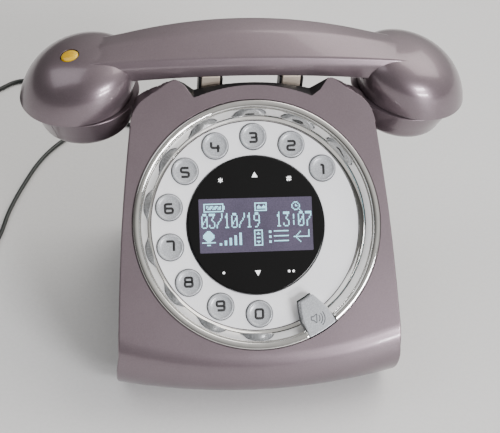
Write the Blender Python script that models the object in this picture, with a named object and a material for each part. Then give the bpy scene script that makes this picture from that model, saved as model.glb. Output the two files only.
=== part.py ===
"""Retro-styled cordless desk telephone: a hollow sloped base with a dial-ring keypad, and a lift-off handset.

Units are metres, +Z is up and the viewer stands at -Y. The base's sloped front panel has its own frame,
PANEL: its local X runs to the right, local Y up the slope and local Z out of the panel.
"""
import math

import bmesh
import bpy
from mathutils import Matrix, Vector

MM = 0.001

# --- the sloped front panel ---------------------------------------------------------------------------
PANEL_SLOPE = math.radians(44.0)
DIAL_CENTRE = Vector((0.0, -21.95 * MM, 77.3 * MM))
FEET_HEIGHT = 1.5 * MM
BASE_BOTTOM = FEET_HEIGHT - DIAL_CENTRE.z
ROLL_RADIUS = 19.0 * MM
ROLL_GROWTH = 4.5 * MM
HALF_WIDTH = 67.0 * MM
SLAB = 20.0 * MM
RIDGE_BACK = 51.3 * MM
LEDGE_Z = 24.0 * MM
REAR_TOP = (82.0 * MM, 8.0 * MM)
REAR_FOOT = 86.0 * MM
TAPER = 0.30 / 140.0
TAPER_START = -55.0

# --- dial assembly, all depths measured from the panel surface -----------------------------------------
RING_RADIUS = 60.6 * MM
RING_PROUD = 1.3 * MM
DIAL_RADIUS = 51.2 * MM
DIAL_DEPTH = 7.0 * MM
DIAL_SKIN = 2.0 * MM
KEY_CIRCLE = 43.5 * MM
KEY_RADIUS = 6.4 * MM
KEY_STEP = math.radians(360.0 / 14.0)
KEY_ORDER = (1, 2, 3, 4, 5, 6, 7, 8, 9, 0)
GLASS_RADIUS = 34.0 * MM
LCD_SIZE = (56.0 * MM, 26.4 * MM)
GAP = 0.3 * MM

# --- handset ---------------------------------------------------------------------------------------------
HANDLE_CENTRE = DIAL_CENTRE + Vector((0.0, 66.3 * MM, 57.8 * MM))
CAPSULE_X = 85.2 * MM
CAPSULE_DROP = 25.2 * MM
CAPSULE_TILT = math.radians(6.0)
DOME_RADIUS = 28.0 * MM
DOME_HEIGHT = 24.0 * MM
DOME_FULLNESS = 2.8
DOME_LEAN = 0.40
SHELL = 2.3 * MM
CUP_TOP = 27.4 * MM
CUP_BOTTOM = 23.4 * MM
CUP_DEPTH = 18.5 * MM
CUP_OFFSET = 3.8 * MM
HANDLE_UNDER = 8.7 * MM
HANDLE_DROOP = 2.9 * MM
HANDLE_REACH = 62.0 * MM
TALK_KEY_SPOT = (-9.8 * MM, -3.3 * MM)
TALK_KEY_RADIUS = 4.4 * MM

# --- cords -------------------------------------------------------------------------------------------------
MAINS_CORD = 2.6 * MM
LINE_CORD = 2.4 * MM

for old in list(bpy.data.objects):
    bpy.data.objects.remove(old, do_unlink=True)


def panel_matrix():
    """The frame of the sloped panel, with its origin at the centre of the dial."""
    turn = Matrix.Rotation(PANEL_SLOPE, 4, "X")
    return Matrix.Translation(DIAL_CENTRE) @ turn


PANEL = panel_matrix()
AT_DIAL = Matrix.Translation(DIAL_CENTRE)
AT_HANDLE = Matrix.Translation(HANDLE_CENTRE)


def material(name, colour, metallic=0.0, roughness=0.5):
    """A Principled material."""
    made = bpy.data.materials.get(name)
    if made:
        return made
    made = bpy.data.materials.new(name)
    made.use_nodes = True
    shader = made.node_tree.nodes["Principled BSDF"]
    shader.inputs["Base Color"].default_value = (*colour, 1.0)
    shader.inputs["Metallic"].default_value = metallic
    shader.inputs["Roughness"].default_value = roughness
    return made


def add_object(name, bm, mat, matrix=None, smooth=False, helper=False):
    """Turns a bmesh into a named object placed by matrix."""
    bmesh.ops.recalc_face_normals(bm, faces=bm.faces)
    mesh = bpy.data.meshes.new(name)
    bm.to_mesh(mesh)
    bm.free()
    for polygon in mesh.polygons:
        polygon.use_smooth = smooth
    obj = bpy.data.objects.new(name, mesh)
    bpy.context.scene.collection.objects.link(obj)
    if mat:
        mesh.materials.append(mat)
    if matrix is not None:
        obj.matrix_world = matrix
    if helper:
        obj.hide_render = True
        obj.display_type = "WIRE"
    return obj


def turned(name, profile, steps, mat, matrix=None, helper=False):
    """A solid of revolution about local Z from a closed list of (radius, height) points."""
    bm = bmesh.new()
    verts = [bm.verts.new((r, 0.0, h)) for r, h in profile]
    edges = [bm.edges.new((a, b)) for a, b in zip(verts, verts[1:])]
    if profile[0][0] > 1e-7 or profile[-1][0] > 1e-7:
        edges.append(bm.edges.new((verts[-1], verts[0])))
    bmesh.ops.spin(
        bm,
        geom=verts + edges,
        cent=(0, 0, 0),
        axis=(0, 0, 1),
        angle=2 * math.pi,
        steps=steps,
        use_merge=True,
    )
    bmesh.ops.remove_doubles(bm, verts=bm.verts, dist=1e-6)
    return add_object(name, bm, mat, matrix, smooth=True, helper=helper)


def prism(name, outline, low, high, mat, matrix=None, helper=False):
    """A closed outline in local XY extruded from low to high along local Z."""
    bm = bmesh.new()
    verts = [bm.verts.new((x, y, low)) for x, y in outline]
    face = bm.faces.new(verts)
    grown = bmesh.ops.extrude_face_region(bm, geom=[face])
    top = [v for v in grown["geom"] if isinstance(v, bmesh.types.BMVert)]
    bmesh.ops.translate(bm, verts=top, vec=(0, 0, high - low))
    return add_object(name, bm, mat, matrix, helper=helper)


def box(name, low, high, mat, matrix=None, helper=False):
    """A box between two corners."""
    outline = [(low[0], low[1]), (high[0], low[1]), (high[0], high[1]), (low[0], high[1])]
    return prism(name, outline, low[2], high[2], mat, matrix, helper)


def loft(name, sections, mat, matrix=None, helper=False):
    """Skins equal-length closed sections, each a list of points, and caps both ends."""
    bm = bmesh.new()
    rings = [[bm.verts.new(p) for p in section] for section in sections]
    count = len(rings[0])
    for first, second in zip(rings, rings[1:]):
        for i in range(count):
            j = (i + 1) % count
            bm.faces.new((first[i], first[j], second[j], second[i]))
    bm.faces.new(rings[0])
    bm.faces.new(rings[-1])
    return add_object(name, bm, mat, matrix, helper=helper)


def boolean(target, other, operation="DIFFERENCE", solver="EXACT"):
    """Adds a Boolean modifier and hides the other object from the render."""
    modifier = target.modifiers.new(operation.title() + "_" + other.name, "BOOLEAN")
    modifier.operation = operation
    modifier.solver = solver
    modifier.object = other
    other.hide_render = True
    other.display_type = "WIRE"
    return modifier


def arc(cx, cy, radius, start, end, steps):
    """Points on an arc, both ends included, angles in degrees."""
    found = []
    for i in range(steps + 1):
        a = math.radians(start + (end - start) * i / steps)
        found.append((cx + radius * math.cos(a), cy + radius * math.sin(a)))
    return found


def round_slot(half_x, half_y, radius, steps=4):
    """A rounded rectangle centred on the origin."""
    x, y = half_x - radius, half_y - radius
    corners = ((x, y, 0), (-x, y, 90), (-x, -y, 180), (x, -y, 270))
    return [p for cx, cy, a in corners for p in arc(cx, cy, radius, a, a + 90, steps)]


# --- materials ---------------------------------------------------------------------------------------------
PAINT = material("mauve_grey_paint", (0.215, 0.185, 0.2), 0.35, 0.3)
DARK = material("black_plastic", (0.02, 0.02, 0.021), 0.0, 0.5)
RUBBER = material("black_rubber", (0.015, 0.015, 0.015), 0.0, 0.9)
CHROME = material("chrome_plate", (0.8, 0.8, 0.8), 1.0, 0.1)
PEARL = material("pearl_paint", (0.82, 0.83, 0.8), 0.0, 0.35)
SILVER = material("silver_key", (0.62, 0.64, 0.65), 0.1, 0.35)
GLASS = material("black_gloss", (0.008, 0.008, 0.009), 0.0, 0.05)
LCD = material("lcd_lilac", (0.21, 0.19, 0.22), 0.0, 0.3)
AMBER = material("amber_gloss", (0.75, 0.48, 0.02), 0.0, 0.15)
BOARD = material("green_board", (0.02, 0.12, 0.05), 0.0, 0.6)
STEEL = material("steel", (0.5, 0.5, 0.5), 1.0, 0.35)
COPPER = material("copper_contact", (0.75, 0.5, 0.36), 1.0, 0.3)
SILICONE = material("grey_silicone", (0.35, 0.36, 0.38), 0.0, 0.7)
CELL = material("cell_wrap", (0.08, 0.13, 0.2), 0.0, 0.4)
CORD = material("dark_cord", (0.012, 0.02, 0.018), 0.0, 0.45)
CLEAR = material("clear_plug", (0.6, 0.62, 0.62), 0.0, 0.15)


# --- base housing --------------------------------------------------------------------------------------------
def roll_at(x):
    """Radius of the rolled front edge, smallest in the middle so that the edge bows forward there."""
    return ROLL_RADIUS + ROLL_GROWTH * (x / HALF_WIDTH) ** 2


def side_section(x):
    """The base's side outline at x, round its front roll, up the panel, down the back and along the floor."""
    radius = roll_at(x)
    vertex_y = BASE_BOTTOM / math.tan(PANEL_SLOPE)
    centre_y = vertex_y + radius / math.tan(PANEL_SLOPE / 2)
    centre_z = BASE_BOTTOM + radius
    points = arc(centre_y, centre_z, radius, 270.0, 90.0 + math.degrees(PANEL_SLOPE), 10)
    points.append((RIDGE_BACK, RIDGE_BACK * math.tan(PANEL_SLOPE)))
    points.append((RIDGE_BACK, LEDGE_Z))
    points.append((66.0 * MM, LEDGE_Z))
    points.append(REAR_TOP)
    points += arc(REAR_FOOT - 3 * MM, BASE_BOTTOM + 3 * MM, 3 * MM, 0.0, -90.0, 3)
    return [(x, y, z) for y, z in points]


def rise(v):
    """Height above the dial centre of a point v up the slope."""
    return v * MM * math.sin(PANEL_SLOPE)


def width_scale(y):
    """The base narrows towards the back: its width at y, in millimetres, against that at the front."""
    return 1.0 - TAPER * (y - TAPER_START)


def front_outline():
    """The base seen from the front: flared sides, round shoulders, two horns, two notches and an arch."""
    right = [(71.0, -113.0), (70.6, -74.0), (69.6, -60.0), (68.0, -30.0), (65.7, 3.0), (61.0, 45.0)]
    right += [(59.9, 51.5), (58.2, 55.8), (54.5, 60.6), (46.0, 66.2), (40.0, 70.2)]
    right += [(38.6, 70.9), (37.4, 70.9), (36.4, 70.2), (29.6, 62.6), (28.4, 62.3)]
    crown = [(28.0 * (1 - i / 4.5), 67.9 - 5.4 * (1 - i / 4.5) ** 2) for i in range(1, 9)]
    whole = right + crown + [(-u, v) for u, v in reversed(right)]
    outline = []
    for u, v in whole:
        reach = max(v, -66.0) * math.cos(PANEL_SLOPE)
        outline.append((u * MM / width_scale(reach), rise(v)))
    return outline


def tapered_block(outline, name, near, far):
    """The front outline carried from near to far along Y, growing narrower as it goes."""
    sections = []
    for y in (near, far):
        sections.append([(x * width_scale(y), y * MM, z) for x, z in outline])
    return loft(name, sections, None, AT_DIAL, helper=True)


def facing_y(outline, name, near, far, helper=True):
    """An outline drawn in XZ about the dial centre, extruded from near to far along Y."""
    turn = Matrix.Rotation(math.radians(90.0), 4, "X")
    return prism(name, outline, -far, -near, None, AT_DIAL @ turn, helper)


def base_housing():
    """The hollow wedge: panel, rolled front edge, horns, cradle ledge and rear leg in one moulding."""
    stations = [HALF_WIDTH * 1.24 * i / 6 for i in range(-6, 7)]
    body = loft("base_housing", [side_section(x) for x in stations], PAINT, AT_DIAL)
    boolean(body, tapered_block(front_outline(), "front_trim", -120.0, 130.0), "INTERSECT")
    inner = [(-8.0, -63.8), (76.0, -63.8), (73.0, 12.0), (45.5, 12.0)]
    inner += [(-17.0, -44.3), (-19.5, -49.5), (-20.0, -54.5), (-18.0, -59.5), (-14.0, -62.7)]
    turn = Matrix(((0, 0, 1, 0), (1, 0, 0, 0), (0, 1, 0, 0), (0, 0, 0, 1)))
    points = [(y * MM, z * MM) for y, z in inner]
    tunnel = prism("tunnel_cut", points, -90 * MM, 90 * MM, None, AT_DIAL @ turn, True)
    boolean(body, tunnel)
    for side, sign in (("right", 1), ("left", -1)):
        waist = [(46.0, 70.0), (46.0, 8.0), (63.0, -62.0), (63.0, -85.0), (90.0, -85.0), (90.0, 70.0)]
        outline = [(sign * x * MM, z * MM) for x, z in waist]
        boolean(body, facing_y(outline, f"waist_cut_{side}", RIDGE_BACK - 0.3 * MM, 130 * MM))
        boolean(body, cup_clearance(sign))
    profile = [(0, 6), (61.0, 6), (61.0, -3.6), (57.8, -3.6), (57.8, -9.6), (50.2, -9.6), (50.2, -17.2)]
    points = [(r * MM, h * MM) for r, h in profile + [(0, -17.2)]]
    boolean(body, turned("dial_pocket", points, 48, None, PANEL, helper=True))
    low = (-44 * MM, -12 * MM, BASE_BOTTOM - 5 * MM)
    high = (44 * MM, 68 * MM, BASE_BOTTOM + 8 * MM)
    boolean(body, box("ballast_pocket", low, high, None, AT_DIAL, True))
    for name, x in (("mains", 24 * MM), ("line", -24 * MM)):
        low = (x - 7.3 * MM, 77.2 * MM, -62.3 * MM)
        high = (x + 7.3 * MM, 95 * MM, -49.7 * MM)
        boolean(body, box(f"{name}_socket_cut", low, high, None, AT_DIAL, True))
    bore = turned("page_key_cut", [(0, -6 * MM), (5.3 * MM, -6 * MM), (5.3 * MM, 9 * MM), (0, 9 * MM)],
                  24, None, page_key_matrix(), helper=True)
    boolean(body, bore)
    return body


def capsule_matrix(sign):
    """Frame of one handset end, with local Z along its tilted axis and the origin in the seam."""
    place = Matrix.Translation(HANDLE_CENTRE + Vector((sign * CAPSULE_X, 0.0, -CAPSULE_DROP)))
    return place @ Matrix.Rotation(sign * CAPSULE_TILT, 4, "Y")


def cup_matrix(sign):
    """Frame of one cup, whose centre sits a little inward of its dome's."""
    return capsule_matrix(sign) @ Matrix.Translation((-sign * CUP_OFFSET, 0.0, 0.0))


def cup_clearance(sign):
    """The room that a cup needs beside the base."""
    wide = CUP_TOP + 2.0 * MM
    profile = [(0, -CUP_DEPTH - 2 * MM), (wide, -CUP_DEPTH - 2 * MM), (wide, 30 * MM), (0, 30 * MM)]
    name = "cup_room_right" if sign > 0 else "cup_room_left"
    return turned(name, profile, 32, None, cup_matrix(sign), helper=True)


def page_key_matrix():
    """The handset-finder key on the rear leg, facing back."""
    lean = math.atan2(REAR_FOOT - REAR_TOP[0], REAR_TOP[1] - BASE_BOTTOM)
    z = -12.0 * MM
    y = REAR_TOP[0] + (REAR_TOP[1] - z) * math.tan(lean)
    place = Matrix.Translation(DIAL_CENTRE + Vector((0.0, y, z)))
    return place @ Matrix.Rotation(math.radians(-90.0) + lean, 4, "X")


# --- dial assembly -----------------------------------------------------------------------------------------
def key_matrix(number):
    """Frame of one number key: they run anticlockwise from 1, and 3 stands at the top."""
    angle = math.radians(90.0) + KEY_STEP * (KEY_ORDER.index(number) - 2)
    centre = Vector((KEY_CIRCLE * math.cos(angle), KEY_CIRCLE * math.sin(angle), -DIAL_DEPTH))
    return PANEL @ Matrix.Translation(centre)


def speaker_outline(grow=0.0):
    """The wedge key that replaces one key place: it runs out through the ring."""
    inner, outer = 43.0 * MM - grow, 60.5 * MM + grow
    outline = arc(0, 0, inner, -53.8, -63.6, 5)
    outline += [(19.4 * MM, -42.8 * MM), (20.3 * MM, -47.9 * MM), (21.6 * MM, -52.0 * MM)]
    outline += arc(0, 0, outer, -67.4, -52.8, 6)
    outline += [(34.2 * MM, -44.0 * MM), (31.4 * MM, -40.2 * MM)]
    if not grow:
        return outline
    cx = sum(x for x, _ in outline) / len(outline)
    cy = sum(y for _, y in outline) / len(outline)
    grown = []
    for x, y in outline:
        away = Vector((x - cx, y - cy))
        away.length += grow
        grown.append((cx + away.x, cy + away.y))
    return grown


def dial():
    """Ring, dial plate, keys, glass, display and the electronics under them."""
    rim = [(60.6, 0.2), (60.3, 0.9), (59.5, 1.3), (58.4, 1.3), (57.3, 0.7), (56.6, -0.4)]
    wall = [(55.6, -1.6), (54.0, -3.6), (52.6, -5.6), (51.6, -7.0), (51.6, -8.0)]
    under = [(57.4, -8.0), (57.4, -3.3), (60.6, -3.3)]
    profile = [(r * MM, h * MM) for r, h in rim + wall + under]
    ring = turned("dial_ring", profile, 60, CHROME, PANEL)
    slot = prism("speaker_slot", speaker_outline(0.45 * MM), -9.4 * MM, 5 * MM, None, PANEL, True)
    boolean(ring, slot)
    boolean(bpy.data.objects["base_housing"], slot)
    profile = [(GLASS_RADIUS + 0.3 * MM, -DIAL_DEPTH), (DIAL_RADIUS, -DIAL_DEPTH)]
    profile += [(DIAL_RADIUS, -DIAL_DEPTH - DIAL_SKIN), (GLASS_RADIUS + 0.3 * MM, -DIAL_DEPTH - DIAL_SKIN)]
    plate = turned("dial_plate", profile, 60, PEARL, PANEL)
    hole = KEY_RADIUS + 0.35 * MM
    cutters = bmesh.new()
    for number in KEY_ORDER:
        centre = (PANEL.inverted() @ key_matrix(number)).translation
        bmesh.ops.create_cone(
            cutters, cap_ends=True, segments=16, radius1=hole, radius2=hole, depth=8 * MM,
            matrix=Matrix.Translation((centre.x, centre.y, -DIAL_DEPTH)),
        )
    boolean(plate, add_object("key_hole_cut", cutters, None, PANEL, helper=True))
    boolean(plate, slot)
    for number in KEY_ORDER:
        low, edge, top = -2.0 * MM, 0.8 * MM, 1.2 * MM
        r = KEY_RADIUS
        profile = [(0, low), (r, low), (r, edge), (r - 0.5 * MM, top), (0, top + 0.1 * MM)]
        turned(f"key_{number}", profile, 16, SILVER, key_matrix(number))
    outline = speaker_outline(0.0)
    centre = Vector((27.0 * MM, -46.0 * MM, 0.0))
    local = [(x - centre.x, y - centre.y) for x, y in outline]
    prism("speaker_key", local, -8.6 * MM, 0.9 * MM, SILVER, PANEL @ Matrix.Translation(centre))
    profile = [(0, -7.8), (34.0, -7.8), (34.0, -6.6), (33.6, -6.2), (0, -5.9)]
    turned("display_glass", [(r * MM, h * MM) for r, h in profile], 48, GLASS, PANEL)
    half_x, half_y = LCD_SIZE[0] / 2, LCD_SIZE[1] / 2
    prism("display_module", round_slot(half_x, half_y, 1.0 * MM, 2), -9.0 * MM, -8.1 * MM, LCD, PANEL)
    sheet = [(0, -9.7), (49.6, -9.7), (49.6, -9.3), (0, -9.3)]
    mat = turned("key_membrane", [(r * MM, (h - 0.2) * MM) for r, h in sheet], 48, SILICONE, PANEL)
    boolean(mat, prism("membrane_slot", speaker_outline(0.45 * MM), -11 * MM, -8 * MM, None, PANEL, True))
    board = [(0, -11.8), (49.4, -11.8), (49.4, -10.2), (0, -10.2)]
    turned("main_board", [(r * MM, h * MM) for r, h in board], 48, BOARD, PANEL)
    cone = [(0, -16.8), (9, -16.8), (9, -14.8), (17, -13.4), (18, -13.4), (18, -12.1), (0, -12.1)]
    turned("ringer_speaker", [(r * MM, h * MM) for r, h in cone], 32, DARK, PANEL)


# --- base fittings -------------------------------------------------------------------------------------------
def base_fittings():
    """Ballast, floor plate, feet, screws, sockets, finder key and the two charging posts."""
    floor = BASE_BOTTOM
    low, high = (-42 * MM, -10 * MM, floor + 2.4 * MM), (42 * MM, 66 * MM, floor + 7.4 * MM)
    box("ballast_plate", low, high, STEEL, AT_DIAL)
    turn = AT_DIAL @ Matrix.Translation((0, 28 * MM, 0))
    outline = round_slot(43.7 * MM, 39.7 * MM, 0.3 * MM, 1)
    plate = prism("floor_plate", outline, floor + 0.1 * MM, floor + 2.1 * MM, DARK, turn)
    spots = [(sx * 38 * MM, sy * 34 * MM) for sx, sy in ((-1, 1), (1, -1))]
    holes = bmesh.new()
    for x, y in spots:
        bmesh.ops.create_cone(
            holes, cap_ends=True, segments=16, radius1=2.2 * MM, radius2=2.2 * MM, depth=8 * MM,
            matrix=Matrix.Translation((x, y, floor)),
        )
    boolean(plate, add_object("screw_hole_cut", holes, None, turn, helper=True))
    for i, (x, y) in enumerate(spots, 1):
        here = turn @ Matrix.Translation((x, y, floor))
        profile = [(0, 0.5), (0.8, 0.5), (0.9, 0.2), (1.7, 0.2), (1.9, 0.5), (1.9, 1.4), (1.3, 2.05), (0, 2.05)]
        turned(f"floor_screw_{i}", [(r * MM, h * MM) for r, h in profile], 16, STEEL, here)
    for i, (x, y) in enumerate(((-46, -21), (46, -21), (-43, 76), (43, 76)), 1):
        profile = [(0, -1.5), (4.6, -1.5), (5, -1.1), (5, -0.05), (0, -0.05)]
        here = AT_DIAL @ Matrix.Translation((x * MM, y * MM, floor))
        turned(f"foot_{i}", [(r * MM, h * MM) for r, h in profile], 24, RUBBER, here)
    for name, x, half in (("mains", 24, 2.9), ("line", -24, 3.9)):
        low = ((x - 7) * MM, 77.5 * MM, -62.0 * MM)
        high = ((x + 7) * MM, 85.2 * MM, -50.0 * MM)
        jack = box(f"{name}_socket", low, high, DARK, AT_DIAL)
        low = ((x - half) * MM, 79.0 * MM, (-56 - 2.9) * MM)
        high = ((x + half) * MM, 95.0 * MM, (-56 + 2.9) * MM)
        boolean(jack, box(f"{name}_socket_hole", low, high, None, AT_DIAL, True))
    profile = [(0, -4.8), (5, -4.8), (5, 0.6), (4.4, 1.1), (0, 1.2)]
    turned("page_key", [(r * MM, h * MM) for r, h in profile], 24, DARK, page_key_matrix())
    under = HANDLE_CENTRE.z - DIAL_CENTRE.z - HANDLE_UNDER - 0.5 * MM
    for side, x in (("left", -20.0 * MM), ("right", 20.0 * MM)):
        here = AT_DIAL @ Matrix.Translation((x, 57.6 * MM, 0))
        post = box(
            f"charge_post_{side}", (-5.9 * MM, -3.4 * MM, LEDGE_Z + GAP),
            (5.9 * MM, 3.4 * MM, under - 1.2 * MM), DARK, here,
        )
        low = (-4.9 * MM, -3.5 * MM, under - 11.3 * MM)
        boolean(post, box(f"post_cut_{side}", low, (4.9 * MM, 1.6 * MM, under), None, here, True))
        low = (-4.6 * MM, -3.2 * MM, under - 10.2 * MM)
        box(f"charge_contact_{side}", low, (4.6 * MM, 1.3 * MM, under - 0.3 * MM), COPPER, here)


# --- handset ---------------------------------------------------------------------------------------------------
def handle_section(x):
    """The faceted grip at x: its top bows up in the middle, and its lower front edges run straight."""
    t = (x / HANDLE_REACH) ** 2
    under = underside(x) / MM
    sink = 2.2 * max(0.0, (abs(x) / MM - 70.0) / 18.0) ** 2
    section = [(13.5 - 2.5 * t, 8.5 - 7.1 * t + 1.6 * max(0.0, t - 1.0)), (2.5 - 0.8 * t, 7.2 - 4.9 * t)]
    section += [(-12.5, 2.1 - 1.7 * t), (-14.0, -1.5 - 1.6 * t), (-12.8, under)]
    section += [(12.8, under), (14.0 - 1.5 * t, -1.5 - 1.6 * t)]
    return [(x, y * MM, (z - sink) * MM) for y, z in section]


def underside(x):
    """Height of the grip's slightly arched underside, from the grip's centre."""
    return -HANDLE_UNDER - HANDLE_DROOP * min(1.25, (x / HANDLE_REACH) ** 2)


def leaning(obj, sign):
    """Shears a dome so that its crown leans towards the grip."""
    for vert in obj.data.vertices:
        if vert.co.z > 0:
            vert.co.x -= sign * DOME_LEAN * vert.co.z
    return obj


def dome_profile(radius, height, rim, steps=7):
    """Half outline of one domed end, from its rim to the pole."""
    points = [(0, rim), (radius - 0.4 * MM, rim), (radius, rim + 0.5 * MM)]
    for i in range(steps + 1):
        a = math.radians(min(89.9, 90.0 * i / steps))
        blunt = 2.0 / DOME_FULLNESS
        points.append((radius * math.cos(a) ** blunt, height * math.sin(a) ** blunt))
    points[-1] = (0, height)
    return points


def handset():
    """Upper shell, cups, caps, grip cover and what is inside them."""
    stations = [88.0 * MM * i / 9 for i in range(-9, 10)]
    shell = loft("handset_shell", [handle_section(x) for x in stations], PAINT, AT_HANDLE)
    for side, sign in (("left", -1), ("right", 1)):
        points = dome_profile(DOME_RADIUS, DOME_HEIGHT, -1.2 * MM)
        dome = turned(f"dome_{side}", points, 28, PAINT, capsule_matrix(sign), True)
        boolean(shell, leaning(dome, sign), "UNION")
    for side, sign in (("left", -1), ("right", 1)):
        points = dome_profile(DOME_RADIUS - SHELL, DOME_HEIGHT - SHELL, -6.0 * MM, 5)
        room = turned(f"dome_room_{side}", points, 24, None, capsule_matrix(sign), True)
        boolean(shell, leaning(room, sign))
    low, high = (-60 * MM, -10 * MM, -14 * MM), (60 * MM, 10 * MM, -3.0 * MM)
    boolean(shell, box("grip_room", low, high, None, AT_HANDLE, True))
    low, high = (-27 * MM, -9.6 * MM, -5 * MM), (27 * MM, 9.6 * MM, 1.6 * MM)
    boolean(shell, box("battery_room", low, high, None, AT_HANDLE, True))
    low, high = (-77 * MM, -6 * MM, -6.9 * MM), (77 * MM, 6 * MM, -3.2 * MM)
    boolean(shell, box("wire_way", low, high, None, AT_HANDLE, True))
    room = [(0, -5 * MM), (TALK_KEY_RADIUS + GAP, -5 * MM), (TALK_KEY_RADIUS + GAP, 6 * MM), (0, 6 * MM)]
    boolean(shell, turned("talk_key_cut", room, 24, None, talk_key_matrix(), helper=True))
    points = [(0, -3.4), (4.4, -3.4), (4.4, -0.2), (3.8, 0.5), (2.2, 0.9), (0, 1.0)]
    turned("talk_key", [(r * MM, h * MM) for r, h in points], 24, AMBER, talk_key_matrix())
    for side, sign, cap in (("left", -1, "ear_cap"), ("right", 1, "mouth_cap")):
        here = cup_matrix(sign)
        top, foot, deep = CUP_TOP / MM, CUP_BOTTOM / MM, -CUP_DEPTH / MM
        outer = [(21.4, -0.4), (21.4, -1.6), (top, -1.6), (foot + 0.9, deep + 5), (foot - 0.4, deep + 2)]
        outer += [(foot - 3.4, deep + 0.2), (18.4, deep), (18.4, deep + 2.2), (foot - 3.2, deep + 3.0)]
        outer += [(20.6, deep + 6), (19.9, -0.4)]
        turned(f"cup_{side}", [(r * MM, h * MM) for r, h in outer], 28, PAINT, here)
        disc = [(0, deep + 0.7), (16.5, deep + 0.3), (18.1, deep + 0.5), (18.1, deep + 2.0), (0, deep + 2.0)]
        grill = turned(cap, [(r * MM, h * MM) for r, h in disc], 28, DARK, here)
        holes = bmesh.new()
        spots = [(0.0, 0.0)] + [(5 * MM, math.radians(60 * k)) for k in range(6)]
        for reach, a in spots:
            bmesh.ops.create_cone(
                holes, cap_ends=True, segments=6, radius1=0.9 * MM, radius2=0.9 * MM, depth=8 * MM,
                matrix=Matrix.Translation((reach * math.cos(a), reach * math.sin(a), deep * MM)),
            )
        boolean(grill, add_object(f"{cap}_holes", holes, None, here, helper=True))
    points = [(0, -16.0), (10, -16.0), (10, -13.8), (14, -13.4), (14, -10.3), (0, -10.3)]
    turned("earpiece", [(r * MM, h * MM) for r, h in points], 32, STEEL, cup_matrix(-1))
    points = [(0, -16.0), (4.8, -16.0), (4.8, -10.6), (0, -11.3)]
    turned("microphone", [(r * MM, h * MM) for r, h in points], 24, STEEL, cup_matrix(1))
    floor = -HANDLE_UNDER
    sections = []
    for i in range(-6, 7):
        x, low = 59.7 * MM * i / 6, underside(59.7 * MM * i / 6)
        high = low + 1.8 * MM
        half = 9.7 * MM
        sections.append([(x, -half, low), (x, half, low), (x, half, high), (x, -half, high)])
    cover = loft("grip_cover", sections, PAINT, AT_HANDLE)
    low, high = (-13.5 * MM, -8 * MM, floor - 5 * MM), (13.5 * MM, 8 * MM, floor + 5 * MM)
    boolean(cover, box("door_cut", low, high, None, AT_HANDLE, True))
    box("battery_door", (-13.2 * MM, -7.7 * MM, floor), (13.2 * MM, 7.7 * MM, floor + 1.5 * MM), DARK, AT_HANDLE)
    for side, x in (("left", -20.0 * MM), ("right", 20.0 * MM)):
        here = AT_HANDLE @ Matrix.Translation((x, 0, floor))
        cut = box(f"pad_cut_{side}", (-4.3 * MM, -5.3 * MM, -3 * MM), (4.3 * MM, 5.3 * MM, 5 * MM), None, here, True)
        boolean(cover, cut)
        box(f"charge_pad_{side}", (-4 * MM, -5 * MM, 0.2 * MM), (4 * MM, 5 * MM, 1.6 * MM), COPPER, here)
    box("battery_pack", (-12.4 * MM, -9.0 * MM, -6.5 * MM), (25.5 * MM, 9.0 * MM, 1.0 * MM), CELL, AT_HANDLE)
    low = (28.0 * MM, -8.5 * MM, -5.6 * MM)
    box("handset_board", low, (58.5 * MM, 8.5 * MM, -4.2 * MM), BOARD, AT_HANDLE)
    for name, x in (("volume_key", 36 * MM), ("mute_key", 50 * MM)):
        here = AT_HANDLE @ Matrix.Translation((x, 0, underside(x)))
        outline = round_slot(5.3 * MM if name == "volume_key" else 3.3 * MM, 2.8 * MM, 2.5 * MM, 3)
        cut = prism(f"{name}_cut", outline, -4 * MM, 6 * MM, None, here, True)
        boolean(cover, cut)
        outline = round_slot(5.0 * MM if name == "volume_key" else 3.0 * MM, 2.5 * MM, 2.2 * MM, 3)
        prism(name, outline, -0.6 * MM, 2.0 * MM, SILVER, here)


def talk_key_matrix():
    """Frame of the talk key, near the crown of the left dome and square to its surface."""
    x, y = TALK_KEY_SPOT
    power = DOME_FULLNESS
    away = math.hypot(x, y)
    z = DOME_HEIGHT * (1.0 - (away / DOME_RADIUS) ** power) ** (1.0 / power)
    rise = away ** (power - 2.0) / DOME_RADIUS**power
    slope_x, slope_y, slope_z = rise * x, rise * y, z ** (power - 1.0) / DOME_HEIGHT**power
    out = Vector((slope_x, slope_y, slope_z - DOME_LEAN * slope_x)).normalized()
    spot = Vector((x + DOME_LEAN * z, y, z)) - out * 0.4 * MM
    turn = out.to_track_quat("Z", "Y").to_matrix().to_4x4()
    return capsule_matrix(-1) @ Matrix.Translation(spot) @ turn


# --- cords -----------------------------------------------------------------------------------------------------
def smooth_path(route, spacing):
    """Even points along a Catmull-Rom curve through the route."""
    pts = [Vector(p) for p in route]
    padded = [2 * pts[0] - pts[1]] + pts + [2 * pts[-1] - pts[-2]]
    dense = []
    for i in range(1, len(padded) - 2):
        a, b, c, d = padded[i - 1 : i + 3]
        for k in range(24):
            t = k / 24
            point = 0.5 * (
                2 * b + (c - a) * t + (2 * a - 5 * b + 4 * c - d) * t * t + (3 * b - a - 3 * c + d) * t**3
            )
            dense.append(point)
    dense.append(pts[-1])
    chosen = [dense[0]]
    run = 0.0
    for p, q in zip(dense, dense[1:]):
        run += (q - p).length
        if run >= spacing:
            chosen.append(q)
            run = 0.0
    if (chosen[-1] - dense[-1]).length > spacing * 0.4:
        chosen.append(dense[-1])
    else:
        chosen[-1] = dense[-1]
    return chosen


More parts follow.
